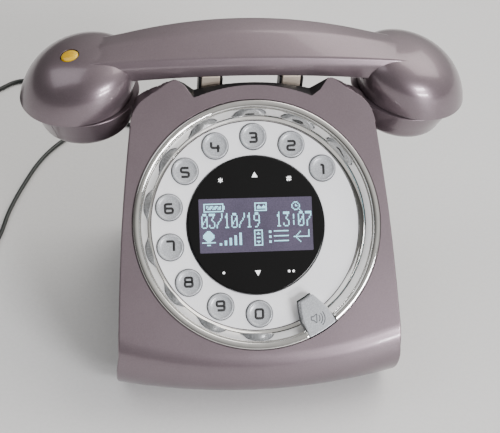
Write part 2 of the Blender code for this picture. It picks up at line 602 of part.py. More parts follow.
def cord(name, route, diameter):
    """A round cord along a route."""
    path = smooth_path([[v * MM for v in p] for p in route], diameter * 2.6)
    data = bpy.data.curves.new(name, "CURVE")
    data.dimensions = "3D"
    data.bevel_depth = diameter / 2
    data.bevel_resolution = 2
    data.use_fill_caps = True
    spline = data.splines.new("POLY")
    spline.points.add(len(path) - 1)
    for point, at in zip(spline.points, path):
        point.co = (*at, 1.0)
    data.materials.append(CORD)
    obj = bpy.data.objects.new(name, data)
    bpy.context.scene.collection.objects.link(obj)
    return obj


def coil(name, centre, across, section, mat=CORD):
    """The wound-up rest of a cord, as one ring lying on the table."""
    mid, half = across / 2, section / 2
    base = [(mid + half * math.cos(a), half + half * math.sin(a)) for a in
            [math.radians(22.5 + 45 * k) for k in range(8)]]
    low = min(h for _, h in base)
    profile = [(r, h - low) for r, h in base]
    return turned(name, profile, 20, mat, Matrix.Translation([v * MM for v in centre]))


def cords():
    """Mains-adapter lead and telephone line lead, both leaving the back of the base."""
    back = DIAL_CENTRE.y / MM
    top = DIAL_CENTRE.z / MM
    h = MAINS_CORD / MM / 2
    route = [(24, 98.9, top - 56.0), (24, 105.7, 18.5), (21, 117.7, 10.0), (14, 133.7, h + 1.0), (2, 150.7, h)]
    route += [(-20, 168.7, h), (-48, 186.7, h), (-75, 204.7, h), (-100, 218.7, h), (-120.5, 220.7, h)]
    route += [(-132.5, 212.7, h), (-144, 202.7, h)]
    route = [(x, back + y, z) for x, y, z in route]
    cord("mains_cord", route, MAINS_CORD)
    turned("mains_plug", [(0, 0), (2.7 * MM, 0), (2.7 * MM, 6 * MM), (4.2 * MM, 6.3 * MM), (4.2 * MM, 14 * MM),
                          (2.3 * MM, 18.6 * MM), (0, 18.6 * MM)], 24, DARK, socket_plug_matrix(24.0, 79.4))
    h = LINE_CORD / MM / 2
    route = [(-24, 98.9, top - 56.0), (-24, 105.7, 18.5), (-26, 117.7, 10.0), (-30, 133.7, h + 1.0)]
    route += [(-36, 152.7, h), (-46, 169.7, h), (-62, 177.2, h), (-80, 171.2, h), (-94.7, 158.7, h)]
    route += [(-106.5, 142.5, h), (-115.7, 122.5, h), (-124.4, 98.1, h), (-129.5, 77.3, h), (-136, 60.7, h)]
    route += [(-146, 47.7, h)]
    route = [(x, back + y, z) for x, y, z in route]
    cord("line_cord", route, LINE_CORD)
    here = Matrix.Translation(DIAL_CENTRE + Vector((-24 * MM, 79.4 * MM, -56 * MM)))
    plug = here @ Matrix.Rotation(math.radians(-90.0), 4, "X")
    turned("line_plug_round", [(0, 12 * MM), (2.2 * MM, 12 * MM), (2.2 * MM, 18.6 * MM), (0, 18.6 * MM)], 12,
           CLEAR, plug, helper=True)
    body = box("line_plug", (-3.3 * MM, -2.6 * MM, 0), (3.3 * MM, 2.6 * MM, 13 * MM), CLEAR, plug)
    boolean(body, bpy.data.objects["line_plug_round"], "UNION")
    coil("mains_coil", (-167.5, 178.3, 0.0), 30 * MM, 10.8 * MM)
    coil("line_coil", (-165.0, 15.8, 0.0), 28 * MM, 9.6 * MM)
    adapter(Matrix.Translation((-213 * MM, 172.8 * MM, 0)))
    low, high = (-198 * MM, 10.8 * MM, 0.05 * MM), (-186 * MM, 17.4 * MM, 6 * MM)
    box("wall_line_plug", low, high, CLEAR)


def socket_plug_matrix(x, y):
    """A plug's frame with its nose in the socket and its tail pointing back."""
    here = Matrix.Translation(DIAL_CENTRE + Vector((x * MM, y * MM, -56 * MM)))
    return here @ Matrix.Rotation(math.radians(-90.0), 4, "X")


def adapter(here):
    """The plug-in mains adapter lying on its back beside the coil, with two round pins."""
    body = prism("mains_adapter", round_slot(21 * MM, 30 * MM, 5 * MM, 3), 0.05 * MM, 26 * MM, DARK, here)
    pins = bmesh.new()
    for x in (-9.5, 9.5):
        bmesh.ops.create_cone(
            pins, cap_ends=True, segments=16, radius1=2.2 * MM, radius2=2.2 * MM, depth=21 * MM,
            matrix=Matrix.Translation((x * MM, 0, 34.5 * MM)),
        )
    boolean(body, add_object("adapter_pins", pins, None, here, helper=True), "UNION")


base_housing()
dial()
base_fittings()
handset()
cords()
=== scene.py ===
"""Looks of a retro-styled cordless desk telephone: a hollow sloped base, a dial-ring keypad and a handset.

Lengths are millimetres times MM, +Z is up and the viewer stands at -Y. The base's sloped front has its own
frame, PANEL: local X runs to the right, local Y up the slope and local Z out of the panel.
"""
import sys
import logging
import math
from dataclasses import dataclass
from enum import Enum
from typing import Callable, Sequence

import bmesh
import bpy
from mathutils import Matrix, Vector


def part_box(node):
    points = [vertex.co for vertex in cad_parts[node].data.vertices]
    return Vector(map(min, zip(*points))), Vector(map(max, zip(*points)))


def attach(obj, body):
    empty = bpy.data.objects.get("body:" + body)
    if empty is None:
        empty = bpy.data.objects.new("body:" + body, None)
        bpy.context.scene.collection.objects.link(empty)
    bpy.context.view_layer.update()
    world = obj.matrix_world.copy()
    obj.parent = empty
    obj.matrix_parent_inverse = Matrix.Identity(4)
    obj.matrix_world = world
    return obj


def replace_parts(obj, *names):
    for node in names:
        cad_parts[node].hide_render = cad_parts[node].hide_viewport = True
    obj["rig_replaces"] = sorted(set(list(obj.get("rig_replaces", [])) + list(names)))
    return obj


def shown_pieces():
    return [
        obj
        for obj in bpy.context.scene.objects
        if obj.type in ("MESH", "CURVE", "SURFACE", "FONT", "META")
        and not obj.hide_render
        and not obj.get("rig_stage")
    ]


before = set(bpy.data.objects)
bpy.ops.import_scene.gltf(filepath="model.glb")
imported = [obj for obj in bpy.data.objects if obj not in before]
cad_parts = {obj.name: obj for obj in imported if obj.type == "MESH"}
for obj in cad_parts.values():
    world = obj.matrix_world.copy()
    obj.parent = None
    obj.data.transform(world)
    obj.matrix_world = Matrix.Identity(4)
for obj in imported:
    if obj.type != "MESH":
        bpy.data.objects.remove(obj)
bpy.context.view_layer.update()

LOG = logging.getLogger("telephone")
MM = 0.001
Object = bpy.types.Object
Socket = bpy.types.NodeSocket
Point = tuple[float, float]
Outline = Sequence[Point]

# --- driving sizes, as in the CAD model -----------------------------------------------------------
SLOPE = math.radians(44.0)
DIAL_CENTRE = Vector((0.0, -21.95 * MM, 77.3 * MM))
FLOOR = 1.5 * MM - DIAL_CENTRE.z
HANDLE_CENTRE = DIAL_CENTRE + Vector((0.0, 66.3 * MM, 57.8 * MM))
PANEL = Matrix.Translation(DIAL_CENTRE) @ Matrix.Rotation(SLOPE, 4, "X")
AT_DIAL = Matrix.Translation(DIAL_CENTRE)
AT_HANDLE = Matrix.Translation(HANDLE_CENTRE)
RIDGE_BACK = 51.3 * MM
LEDGE_Z = 24.0 * MM
REAR_TOP = (82.0 * MM, 8.0 * MM)
REAR_FOOT = 86.0 * MM
DIAL_DEPTH = 7.0 * MM
KEY_CIRCLE = 43.5 * MM
KEY_STEP = math.radians(360.0 / 14.0)
KEY_ORDER = (1, 2, 3, 4, 5, 6, 7, 8, 9, 0)
SPEAKER_GAP = 0.32
HANDLE_UNDER = 8.7 * MM
MAINS_CORD = 2.6 * MM
LINE_CORD = 2.4 * MM


class Slot(Enum):
    """The record's material slots, by name."""

    PAINT = "mauve_paint"
    BLACK = "black_plastic"
    RUBBER = "black_rubber"
    CHROME = "chrome"
    PEARL = "pearl_paint"
    SILVER = "silver_key"
    GLASS = "black_gloss"
    LCD = "lcd"
    AMBER = "amber"
    STEEL = "steel"
    COPPER = "copper_contact"
    CORD = "dark_cord"
    CLEAR = "clear_plug"


class Side(Enum):
    """The two ends of the handset: the ear end is on the viewer's left."""

    LEFT = -1
    RIGHT = 1


# --- finishes -------------------------------------------------------------------------------------
def linear(code: str) -> tuple[float, float, float, float]:
    """An sRGB hex colour as linear RGBA."""
    parts = [int(code[i : i + 2], 16) / 255 for i in (0, 2, 4)]
    return (*[c / 12.92 if c <= 0.04045 else ((c + 0.055) / 1.055) ** 2.4 for c in parts], 1.0)


def per_mm(size: float) -> float:
    """The texture scale that gives a pattern of this size in millimetres."""
    return 1.0 / (size * MM)


def add(tree: bpy.types.NodeTree, kind: str, links: dict | None = None, **settings) -> bpy.types.Node:
    """Adds a node.

    Args:
        tree: the node tree.
        kind: the node's type name.
        links: values or output sockets, by the input's name or number.
        **settings: the node's own properties.

    Returns:
        The new node.
    """
    node = tree.nodes.new(kind)
    for key, value in settings.items():
        setattr(node, key, value)
    for key, value in (links or {}).items():
        if isinstance(value, bpy.types.NodeSocket):
            tree.links.new(value, node.inputs[key])
        else:
            node.inputs[key].default_value = value
    return node


@dataclass(frozen=True)
class Finish:
    """A moulded, painted or plated surface: two near colours that drift, a fine grain and its relief."""

    name: str
    deep: str
    light: str
    roughness: float
    metallic: float = 0.0
    ior: float = 1.5
    swing: float = 0.03
    patch_mm: float = 18.0
    grain_mm: float = 0.6
    relief_mm: float = 0.004
    coat: float = 0.0
    coat_roughness: float = 0.08
    through: float = 0.0
    glow: float = 0.0

    def material(self) -> bpy.types.Material:
        """The finish as a Blender material, made once.

        Returns:
            The material.
        """
        found = bpy.data.materials.get(self.name)
        if found:
            return found
        made = bpy.data.materials.new(self.name)
        made.use_nodes = True
        tree = made.node_tree
        shader = tree.nodes["Principled BSDF"]
        shader.inputs["Metallic"].default_value = self.metallic
        if self.metallic < 1.0:
            shader.inputs["IOR"].default_value = self.ior
        shader.inputs["Coat Weight"].default_value = self.coat
        shader.inputs["Coat Roughness"].default_value = self.coat_roughness
        shader.inputs["Transmission Weight"].default_value = self.through
        place = add(tree, "ShaderNodeTexCoord").outputs["Object"]
        colour, height = self.pattern(tree, place)
        tree.links.new(colour, shader.inputs["Base Color"])
        if self.glow:
            tree.links.new(colour, shader.inputs["Emission Color"])
            shader.inputs["Emission Strength"].default_value = self.glow
        rough = add(tree, "ShaderNodeMapRange", {
            "Value": height, "To Min": self.roughness - self.swing, "To Max": self.roughness + self.swing})
        tree.links.new(rough.outputs["Result"], shader.inputs["Roughness"])
        relief = self.relief_mm * MM
        bump = add(tree, "ShaderNodeBump", {"Height": height, "Distance": relief, "Strength": 1.0})
        tree.links.new(bump.outputs["Normal"], shader.inputs["Normal"])
        return made

    def pattern(self, tree: bpy.types.NodeTree, place: Socket) -> tuple:
        """The colour and the height of the surface.

        Args:
            tree: the material's tree.
            place: object coordinates.

        Returns:
            The colour socket and the height socket.
        """
        patch, fine = per_mm(self.patch_mm), per_mm(self.grain_mm)
        drift = add(tree, "ShaderNodeTexNoise", {"Vector": place, "Scale": patch, "Detail": 3.0}).outputs[0]
        grain = add(tree, "ShaderNodeTexNoise", {"Vector": place, "Scale": fine, "Detail": 2.0}).outputs[0]
        both = add(tree, "ShaderNodeMath", {0: drift, 1: grain}, operation="ADD").outputs[0]
        share = add(tree, "ShaderNodeMapRange", {"Value": both, "From Min": 0.7, "From Max": 1.3})
        ends = {6: linear(self.deep), 7: linear(self.light)}
        mix = add(tree, "ShaderNodeMix", {0: share.outputs["Result"], **ends}, data_type="RGBA")
        return mix.outputs[2], grain


@dataclass(frozen=True)
class FlakeLacquer(Finish):
    """Metallic lacquer over moulded ABS: aluminium flakes lie at different slants under clear coat."""

    flake_mm: float = 0.7
    sparkle: float = 0.12

    def pattern(self, tree: bpy.types.NodeTree, place: Socket) -> tuple:
        """Adds each flake's brightness to the colour; real flakes are finer, and these just show.

        Args:
            tree: the node tree.
            place: object coordinates.

        Returns:
            The colour socket and the height socket.
        """
        colour, height = super().pattern(tree, place)
        cells = add(tree, "ShaderNodeTexVoronoi", {"Vector": place, "Scale": per_mm(self.flake_mm)})
        bright = add(tree, "ShaderNodeMapRange", {
            "Value": cells.outputs["Color"], "To Min": 1.0 - self.sparkle, "To Max": 1.0 + self.sparkle})
        factors = {0: colour, 1: bright.outputs["Result"]}
        return add(tree, "ShaderNodeVectorMath", factors, operation="MULTIPLY").outputs[0], height


@dataclass(frozen=True)
class BrushedMetal(Finish):
    """Bare metal whose grain runs along one axis."""

    along: tuple[float, float, float] = (0.04, 1.0, 1.0)

    def pattern(self, tree: bpy.types.NodeTree, place: Socket) -> tuple:
        """Stretches the grain along the rolling direction."""
        stretched = add(tree, "ShaderNodeMapping", {"Vector": place, "Scale": self.along})
        return super().pattern(tree, stretched.outputs["Vector"])


@dataclass(frozen=True)
class LitPanel(Finish):
    """A back-lit display: its colour drifts slowly, and the grid of its cells is just visible."""

    pitch_mm: float = 0.602

    def pattern(self, tree: bpy.types.NodeTree, place: Socket) -> tuple:
        """Darkens the thin lines between the cells; a wave of scale 1 repeats every tau / 20.

        Args:
            tree: the node tree.
            place: object coordinates.

        Returns:
            The colour socket and the height socket.
        """
        colour, height = super().pattern(tree, place)
        scale = math.tau / 20.0 * per_mm(self.pitch_mm)
        cells = add(tree, "ShaderNodeTexWave", {"Vector": place, "Scale": scale}, bands_direction="X")
        dim = add(tree, "ShaderNodeMapRange", {"Value": cells.outputs["Fac"], "To Min": 0.93, "To Max": 1.0})
        factors = {0: colour, 1: dim.outputs["Result"]}
        return add(tree, "ShaderNodeVectorMath", factors, operation="MULTIPLY").outputs[0], height


@dataclass(frozen=True)
class CircuitBoard(Finish):
    """Green solder resist with copper tracks showing through it."""

    track_mm: float = 2.4

    def pattern(self, tree: bpy.types.NodeTree, place: Socket) -> tuple:
        """Lays a lighter net of tracks over the resist.

        Args:
            tree: the node tree.
            place: object coordinates.

        Returns:
            The colour socket and the height socket.
        """
        colour, height = super().pattern(tree, place)
        net = add(tree, "ShaderNodeTexVoronoi", {"Vector": place, "Scale": per_mm(self.track_mm)},
                  feature="DISTANCE_TO_EDGE")
        track = add(tree, "ShaderNodeMapRange", {
            "Value": net.outputs["Distance"], "From Max": 0.08, "To Min": 1.9, "To Max": 1.0})
        factors = {0: colour, 1: track.outputs["Result"]}
        return add(tree, "ShaderNodeVectorMath", factors, operation="MULTIPLY").outputs[0], height


# Mauve-grey metallic lacquer: satin, with a clear coat that keeps window reflections soft but readable.
LACQUER = FlakeLacquer("mauve_metallic_lacquer", "72656b", "7a6d73", 0.31, metallic=0.68, coat=0.55,
                       coat_roughness=0.07, patch_mm=30.0, relief_mm=0.0002, swing=0.01, sparkle=0.05,
                       flake_mm=0.4)
# Fine-textured black ABS moulding.
BLACK_ABS = Finish("black_abs", "0c0c0d", "161617", 0.45, grain_mm=0.35, relief_mm=0.01)
# Soft black rubber of the feet and the wire ties: dull, without a highlight. It also paints the shade in the
# gaps round the keys.
RUBBER = Finish("black_rubber", "101010", "191919", 0.82, relief_mm=0.02)
# Bright chromium plate on ABS: mirror-like, with the faintest waviness of the moulding under it.
CHROME = Finish("bright_chrome_plate", "cfcecb", "d9d8d5", 0.045, metallic=1.0, swing=0.015, grain_mm=5.0,
                relief_mm=0.012)
# Pearl-white lacquer of the dial plate: bright, with a soft sheen.
PEARL = Finish("pearl_white_lacquer", "f0f1f4", "f7f8fa", 0.3, coat=0.3, coat_roughness=0.12,
               grain_mm=0.5, relief_mm=0.001)
# Silver-pigmented translucent key caps: a cool grey that a thin gloss lifts at the rims.
SILVER = Finish("silver_key_cap", "a6a9ad", "b5b8bc", 0.27, metallic=0.15, coat=0.4, coat_roughness=0.08,
                relief_mm=0.001)
# Printed legends: matt black ink, white ink on the window, grey ink on the loudspeaker key.
BLACK_INK = Finish("black_pad_print", "0a0a0b", "121214", 0.5, relief_mm=0.001)
WHITE_INK = Finish("white_back_lit_print", "f4f6f8", "ffffff", 0.4, relief_mm=0.001, glow=0.9)
GREY_INK = Finish("grey_pad_print", "4c5054", "5c6064", 0.5, relief_mm=0.001)
# Polished black acrylic window: a deep black with faint, sharp reflections.
ACRYLIC = Finish("black_acrylic_window", "040405", "060607", 0.07, swing=0.02, ior=1.38, relief_mm=0.0005)
# Lit lilac-grey display with pale cyan dots.
SCREEN = LitPanel("lit_lilac_display", "3e3a4a", "524b5e", 0.12, patch_mm=26.0, relief_mm=0.0005, glow=0.42)
DOTS = Finish("cyan_display_dots", "8fd8ee", "a6e4f4", 0.3, relief_mm=0.0005, glow=0.8)
# Glossy amber key: translucent acrylic with a deep yellow body.
AMBER = Finish("amber_acrylic", "cf9c00", "e6c000", 0.16, coat=0.3, coat_roughness=0.05, patch_mm=5.0,
               relief_mm=0.001)
# Tinned copper alloy of the charging contacts: pale, warm and only half bright.
COPPER = BrushedMetal("tinned_copper_alloy", "cdbfae", "dccfbf", 0.34, metallic=0.45)
# Zinc-plated steel of screws, pins and ballast: a cool grey sheen along the grain.
STEEL = BrushedMetal("zinc_plated_steel", "9a9c9e", "b4b6b8", 0.32, metallic=1.0)
# Green solder resist with the tracks a shade lighter under it.
BOARD = CircuitBoard("green_solder_resist", "0d3d1f", "145229", 0.4)
# Grey silicone of the key membrane: soft and even.
SILICONE = Finish("grey_silicone", "8c8e92", "9a9ca0", 0.6)
# Blue shrink sleeve round the cells: smooth, with a thin plastic gloss.
CELL_WRAP = Finish("blue_shrink_sleeve", "24405c", "2e4f70", 0.3, coat=0.3)
# Dark, faintly green vinyl jacket of both cords: a satin line of light along the top.
JACKET = Finish("dark_pvc_jacket", "0d1513", "17211e", 0.38, grain_mm=1.2, relief_mm=0.01)
# Clear polycarbonate of the line plugs: pale and half see-through.
CLEAR_PLUG = Finish("clear_polycarbonate", "c6cacb", "d4d8d9", 0.1, through=0.55, relief_mm=0.001)
# Pale matt table top: nearly white, so that shadows stay soft and plain.
TABLE_TOP = Finish("pale_matt_table", "dcdcdb", "e2e2e1", 0.5, patch_mm=300.0, grain_mm=2.0, relief_mm=0.001)


# --- mesh tools -----------------------------------------------------------------------------------
def arc(cx: float, cy: float, radius: float, start: float, end: float, steps: int) -> list[Point]:
    """Points on an arc, both ends included, angles in degrees."""
    turns = [math.radians(start + (end - start) * i / steps) for i in range(steps + 1)]
    return [(cx + radius * math.cos(a), cy + radius * math.sin(a)) for a in turns]


def eased(corners: Sequence[tuple[float, float, float]], steps: int = 5, closed: bool = True) -> list[Point]:
    """An outline whose corners are rounded off.

    Args:
        corners: (x, y, reach), where reach is how far from the corner its curve begins.
        steps: pieces in each curve.
        closed: whether the last corner joins the first.

    Returns:
        The points of the outline.
    """
    found: list[Point] = []
    count = len(corners)
    for i, (x, y, reach) in enumerate(corners):
        here = Vector((x, y))
        end = not closed and i in (0, count - 1)
        if reach <= 0 or end:
            found.append((x, y))
            continue
        before = Vector(corners[i - 1][:2]) - here
        after = Vector(corners[(i + 1) % count][:2]) - here
        near = min(reach, 0.48 * before.length, 0.48 * after.length)
        a, b = here + before.normalized() * near, here + after.normalized() * near
        for k in range(steps + 1):
            t = k / steps
            p = a * (1 - t) ** 2 + here * 2 * t * (1 - t) + b * t * t
            found.append((p.x, p.y))
    return found


def pillow(half_x: float, half_y: float, reach: float, steps: int) -> list[Point]:
    """A rectangle about the origin with rounded corners, from its half sizes; reach and steps as in eased."""
    corners = [(sx * half_x, sy * half_y, reach) for sx, sy in ((1, 1), (-1, 1), (-1, -1), (1, -1))]
    return eased(corners, steps)


def flowing(route: Sequence[Sequence[float]], steps: int = 12) -> list[Vector]:
    """Points along a centripetal Catmull-Rom curve through the route, which has no loops or overshoot.

    Args:
        route: the points to pass through.
        steps: pieces between two of them.

    Returns:
        The points of the curve.
    """
    pts = [Vector(p) for p in route]
    pts = [2 * pts[0] - pts[1]] + pts + [2 * pts[-1] - pts[-2]]
    found = []
    for a, b, c, d in zip(pts, pts[1:], pts[2:], pts[3:]):
        t1 = (b - a).length ** 0.5
        t2 = t1 + (c - b).length ** 0.5
        t3 = t2 + (d - c).length ** 0.5
        for k in range(steps):
            t = t1 + (t2 - t1) * k / steps
            ab = a * ((t1 - t) / t1) + b * (t / t1)
            bc = b * ((t2 - t) / (t2 - t1)) + c * ((t - t1) / (t2 - t1))
            cd = c * ((t3 - t) / (t3 - t2)) + d * ((t - t2) / (t3 - t2))
            abc = ab * ((t2 - t) / t2) + bc * (t / t2)
            bcd = bc * ((t3 - t) / (t3 - t1)) + cd * ((t - t1) / (t3 - t1))
            found.append(abc * ((t2 - t) / (t2 - t1)) + bcd * ((t - t1) / (t2 - t1)))
    found.append(pts[-2])
    return found


def solid(name: str, bm: bmesh.types.BMesh, place: Matrix | None = None, tidy: bool = True) -> Object:
    """Turns a bmesh into an object at the origin, with its place in its mesh.

    Args:
        name: the object's name.
        bm: the shape; it is used up.
        place: where the shape stands.
        tidy: whether its faces are turned outwards.

    Returns:
        The new object.
    """
    if tidy:
        bmesh.ops.recalc_face_normals(bm, faces=bm.faces)
    if place is not None:
        bm.transform(place)
    mesh = bpy.data.meshes.new(name)
    bm.to_mesh(mesh)
    bm.free()
    obj = bpy.data.objects.new(name, mesh)
    bpy.context.scene.collection.objects.link(obj)
    return obj


def turned(name: str, profile: Outline, steps: int = 96, place: Matrix | None = None) -> Object:
    """A solid of revolution about local Z from a closed list of (radius, height) points.

    Args:
        name: the object's name.
        profile: the closed section; where it touches the axis it stays open.
        steps: pieces in a full turn.
        place: where the shape stands.

    Returns:
        The solid.
    """
    bm = bmesh.new()
    verts = [bm.verts.new((r, 0.0, h)) for r, h in profile]
    edges = [bm.edges.new((a, b)) for a, b in zip(verts, verts[1:])]
    if profile[0][0] > 1e-7 or profile[-1][0] > 1e-7:
        edges.append(bm.edges.new((verts[-1], verts[0])))
    bmesh.ops.spin(bm, geom=verts + edges, cent=(0, 0, 0), axis=(0, 0, 1), angle=math.tau, steps=steps,
                   use_merge=True)
    bmesh.ops.remove_doubles(bm, verts=bm.verts, dist=1e-6)
    return solid(name, bm, place)


def turned_mm(name: str, profile: Outline, steps: int = 96, place: Matrix | None = None) -> Object:
    """As turned, from millimetres."""
    return turned(name, [(r * MM, h * MM) for r, h in profile], steps, place)


def prism(name: str, outline: Outline, low: float, high: float, place: Matrix | None = None) -> Object:
    """A closed outline in local XY extruded from low to high along local Z.

    Args:
        name: the object's name.
        outline: its points in order.
        low: height of its lower face.
        high: height of its upper face.
        place: where the shape stands.

    Returns:
        The solid.
    """
    bm = bmesh.new()
    face = bm.faces.new([bm.verts.new((x, y, low)) for x, y in outline])
    grown = bmesh.ops.extrude_face_region(bm, geom=[face])
    top = [v for v in grown["geom"] if isinstance(v, bmesh.types.BMVert)]
    bmesh.ops.translate(bm, verts=top, vec=(0, 0, high - low))
    return solid(name, bm, place)


def block(name: str, low: Sequence[float], high: Sequence[float], place: Matrix | None = None) -> Object:
    """A box between two corners given in millimetres.

    Args:
        name: the object's name.
        low: the corner with the least x, y and z.
        high: the opposite corner.
        place: where the shape stands.

    Returns:
        The solid.
    """
    a, b = [v * MM for v in low], [v * MM for v in high]
    outline = [(a[0], a[1]), (b[0], a[1]), (b[0], b[1]), (a[0], b[1])]
    return prism(name, outline, a[2], b[2], place)


def skin(name: str, sections: Sequence[Sequence[Sequence[float]]], place: Matrix | None = None) -> Object:
    """Joins equal-length closed sections into a solid with both ends capped.

    Args:
        name: the object's name.
        sections: the rings of points, one after another.
        place: where the shape stands.

    Returns:
        The solid.
    """
    bm = bmesh.new()
    rings = [[bm.verts.new(p) for p in section] for section in sections]
    count = len(rings[0])
    for first, second in zip(rings, rings[1:]):
        for i in range(count):
            j = (i + 1) % count
            bm.faces.new((first[i], first[j], second[j], second[i]))
    bm.faces.new(rings[0])
    bm.faces.new(rings[-1])
    return solid(name, bm, place)


def freeze(obj: Object) -> Object:
    """Applies the object's modifiers and leaves a plain mesh.

    Args:
        obj: the object.

    Returns:
        The object.
    """
    graph = bpy.context.evaluated_depsgraph_get()
    mesh = bpy.data.meshes.new_from_object(obj.evaluated_get(graph), depsgraph=graph)
    obj.modifiers.clear()
    obj.data = mesh
    return obj


def boolean(target: Object, *others: Object, operation: str = "DIFFERENCE") -> Object:
    """Cuts or joins, and removes the other objects.

    Args:
        target: the object that changes.
        *others: the cutters, or what joins it.
        operation: the Boolean's operation.

    Returns:
        The target.
    """
    for other in others:
        modifier = target.modifiers.new("cut", "BOOLEAN")
        modifier.operation = operation
        modifier.solver = "EXACT"
        modifier.object = other
        freeze(target)
    for other in others:
        bpy.data.objects.remove(other, do_unlink=True)
    return target


def cleaned(obj: Object, within: float = 0.02, flat: float = 0.15) -> Object:
    """Merges points closer than within millimetres and joins faces flatter than flat degrees.

    Args:
        obj: the object.
        within: merging distance in millimetres.
        flat: angle in degrees.

    Returns:
        The object.
    """
    bm = bmesh.new()
    bm.from_mesh(obj.data)
    bmesh.ops.dissolve_limit(bm, angle_limit=math.radians(flat), verts=bm.verts, edges=bm.edges)
    bmesh.ops.remove_doubles(bm, verts=bm.verts, dist=within * MM)
    bmesh.ops.dissolve_degenerate(bm, dist=within * MM * 0.5, edges=bm.edges)
    bm.to_mesh(obj.data)
    bm.free()
    return obj


def rounded_edges(obj: Object, width: float, angle: float = 32.0, segments: int = 3) -> Object:
    """Rounds every edge sharper than angle degrees; width is in millimetres.

    Args:
        obj: the object.
        width: the bevel's width.
        angle: how sharp an edge has to be.
        segments: pieces across the bevel.

    Returns:
        The object.
    """
    bevel = obj.modifiers.new("edges", "BEVEL")
    bevel.width = width * MM
    bevel.segments = segments
    bevel.limit_method = "ANGLE"
    bevel.angle_limit = math.radians(angle)
    bevel.use_clamp_overlap = False
    bevel.miter_outer = "MITER_ARC"
    return freeze(obj)


def rounded_some(obj: Object, width: float, wanted: Callable[[Vector], bool], segments: int = 4,
                 angle: float = 32.0) -> Object:
    """Rounds the sharp edges whose middle is wanted.

    Args:
        obj: the object.
        width: the bevel's width in millimetres.
        wanted: whether an edge with this middle is rounded.
        segments: pieces across the bevel.
        angle: how sharp an edge has to be, in degrees.

    Returns:
        The object.
    """
    bm = bmesh.new()
    bm.from_mesh(obj.data)
    sharp = math.radians(angle)
    edges = [e for e in bm.edges if len(e.link_faces) == 2 and e.calc_face_angle(0.0) > sharp
             and wanted((e.verts[0].co + e.verts[1].co) / 2)]
    bmesh.ops.bevel(bm, geom=edges, offset=width * MM, offset_type="OFFSET", segments=segments, profile=0.5,
                    affect="EDGES", clamp_overlap=False, miter_outer="ARC", loop_slide=False)
    bm.to_mesh(obj.data)
    bm.free()
    return obj


def smooth(obj: Object, angle: float = 30.0, weigh: bool = True) -> Object:
    """Shades the object smooth, keeps edges sharper than angle, and lets large flat faces set the normals.

    Args:
        obj: the object.
        angle: in degrees.
        weigh: whether flat faces set the normals.

    Returns:
        The object.
    """
    obj.data.shade_smooth()
    obj.data.set_sharp_from_angle(angle=math.radians(angle))
    if weigh:
        weighted = obj.modifiers.new("normals", "WEIGHTED_NORMAL")
        weighted.keep_sharp = True
        freeze(obj)
    return obj


def deliver(obj: Object, body: str, slot: Slot, finish: Finish, *nodes: str) -> Object:
    """Dresses a finished piece and lets it ride on its body.

    Args:
        obj: the piece.
        body: the CAD body that it moves with.
        slot: the record's slot of its finish; not used.
        finish: what it is dressed in.
        *nodes: the CAD nodes that it stands for.

    Returns:
        The piece.
    """
    if obj.type == "MESH" and not (obj.data.materials and obj.data.materials[0]):
        obj.data.materials.clear()
        obj.data.materials.append(finish.material())
    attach(obj, body)
    if nodes:
        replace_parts(obj, *nodes)
    LOG.info("%s rides on %s for %s", obj.name, body, ", ".join(nodes) or "no node")
    return obj


# --- Geometry Nodes tools -------------------------------------------------------------------------
@dataclass
class NodeTool:
    """A Geometry Nodes tree with named size inputs; it ends in Realize Instances and Set Material."""

    name: str
    sizes: dict[str, float]
    build: Callable[[bpy.types.NodeTree, bpy.types.Node], Socket]

    def tree(self) -> bpy.types.NodeTree:
        """The tree, made once.

        Returns:
            The node group.
        """
        found = bpy.data.node_groups.get(self.name)
        if found:
            return found
        tree = bpy.data.node_groups.new(self.name, "GeometryNodeTree")
        tree.interface.new_socket("Geometry", in_out="INPUT", socket_type="NodeSocketGeometry")
        for size in self.sizes:
            tree.interface.new_socket(size, in_out="INPUT", socket_type="NodeSocketFloat")
        tree.interface.new_socket("Finish", in_out="INPUT", socket_type="NodeSocketMaterial")
        tree.interface.new_socket("Geometry", in_out="OUTPUT", socket_type="NodeSocketGeometry")
        given = add(tree, "NodeGroupInput")
        made = self.build(tree, given)
        real = add(tree, "GeometryNodeRealizeInstances", {"Geometry": made})
        dressed = add(tree, "GeometryNodeSetMaterial", {
            "Geometry": real.outputs["Geometry"], "Material": given.outputs["Finish"]})
        add(tree, "NodeGroupOutput", {"Geometry": dressed.outputs["Geometry"]})
        return tree

    def run(self, obj: Object, finish: Finish, **sizes: float) -> Object:
        """Runs the tree on an object and leaves a plain mesh.

        Args:
            obj: the object whose points or lines the tree works on.
            finish: the finish of what it makes.
            **sizes: sizes in metres, with _ for a space in the input's name.

        Returns:
            The object.
        """
        tree = self.tree()
        modifier = obj.modifiers.new(self.name, "NODES")
        modifier.node_group = tree
        values = {**self.sizes, **{key.replace("_", " "): value for key, value in sizes.items()}}
        for item in tree.interface.items_tree:
            if item.in_out == "INPUT" and item.name in values:
                modifier[item.identifier] = float(values[item.name])
            elif item.in_out == "INPUT" and item.name == "Finish":
                modifier[item.identifier] = finish.material()
        return freeze(obj)


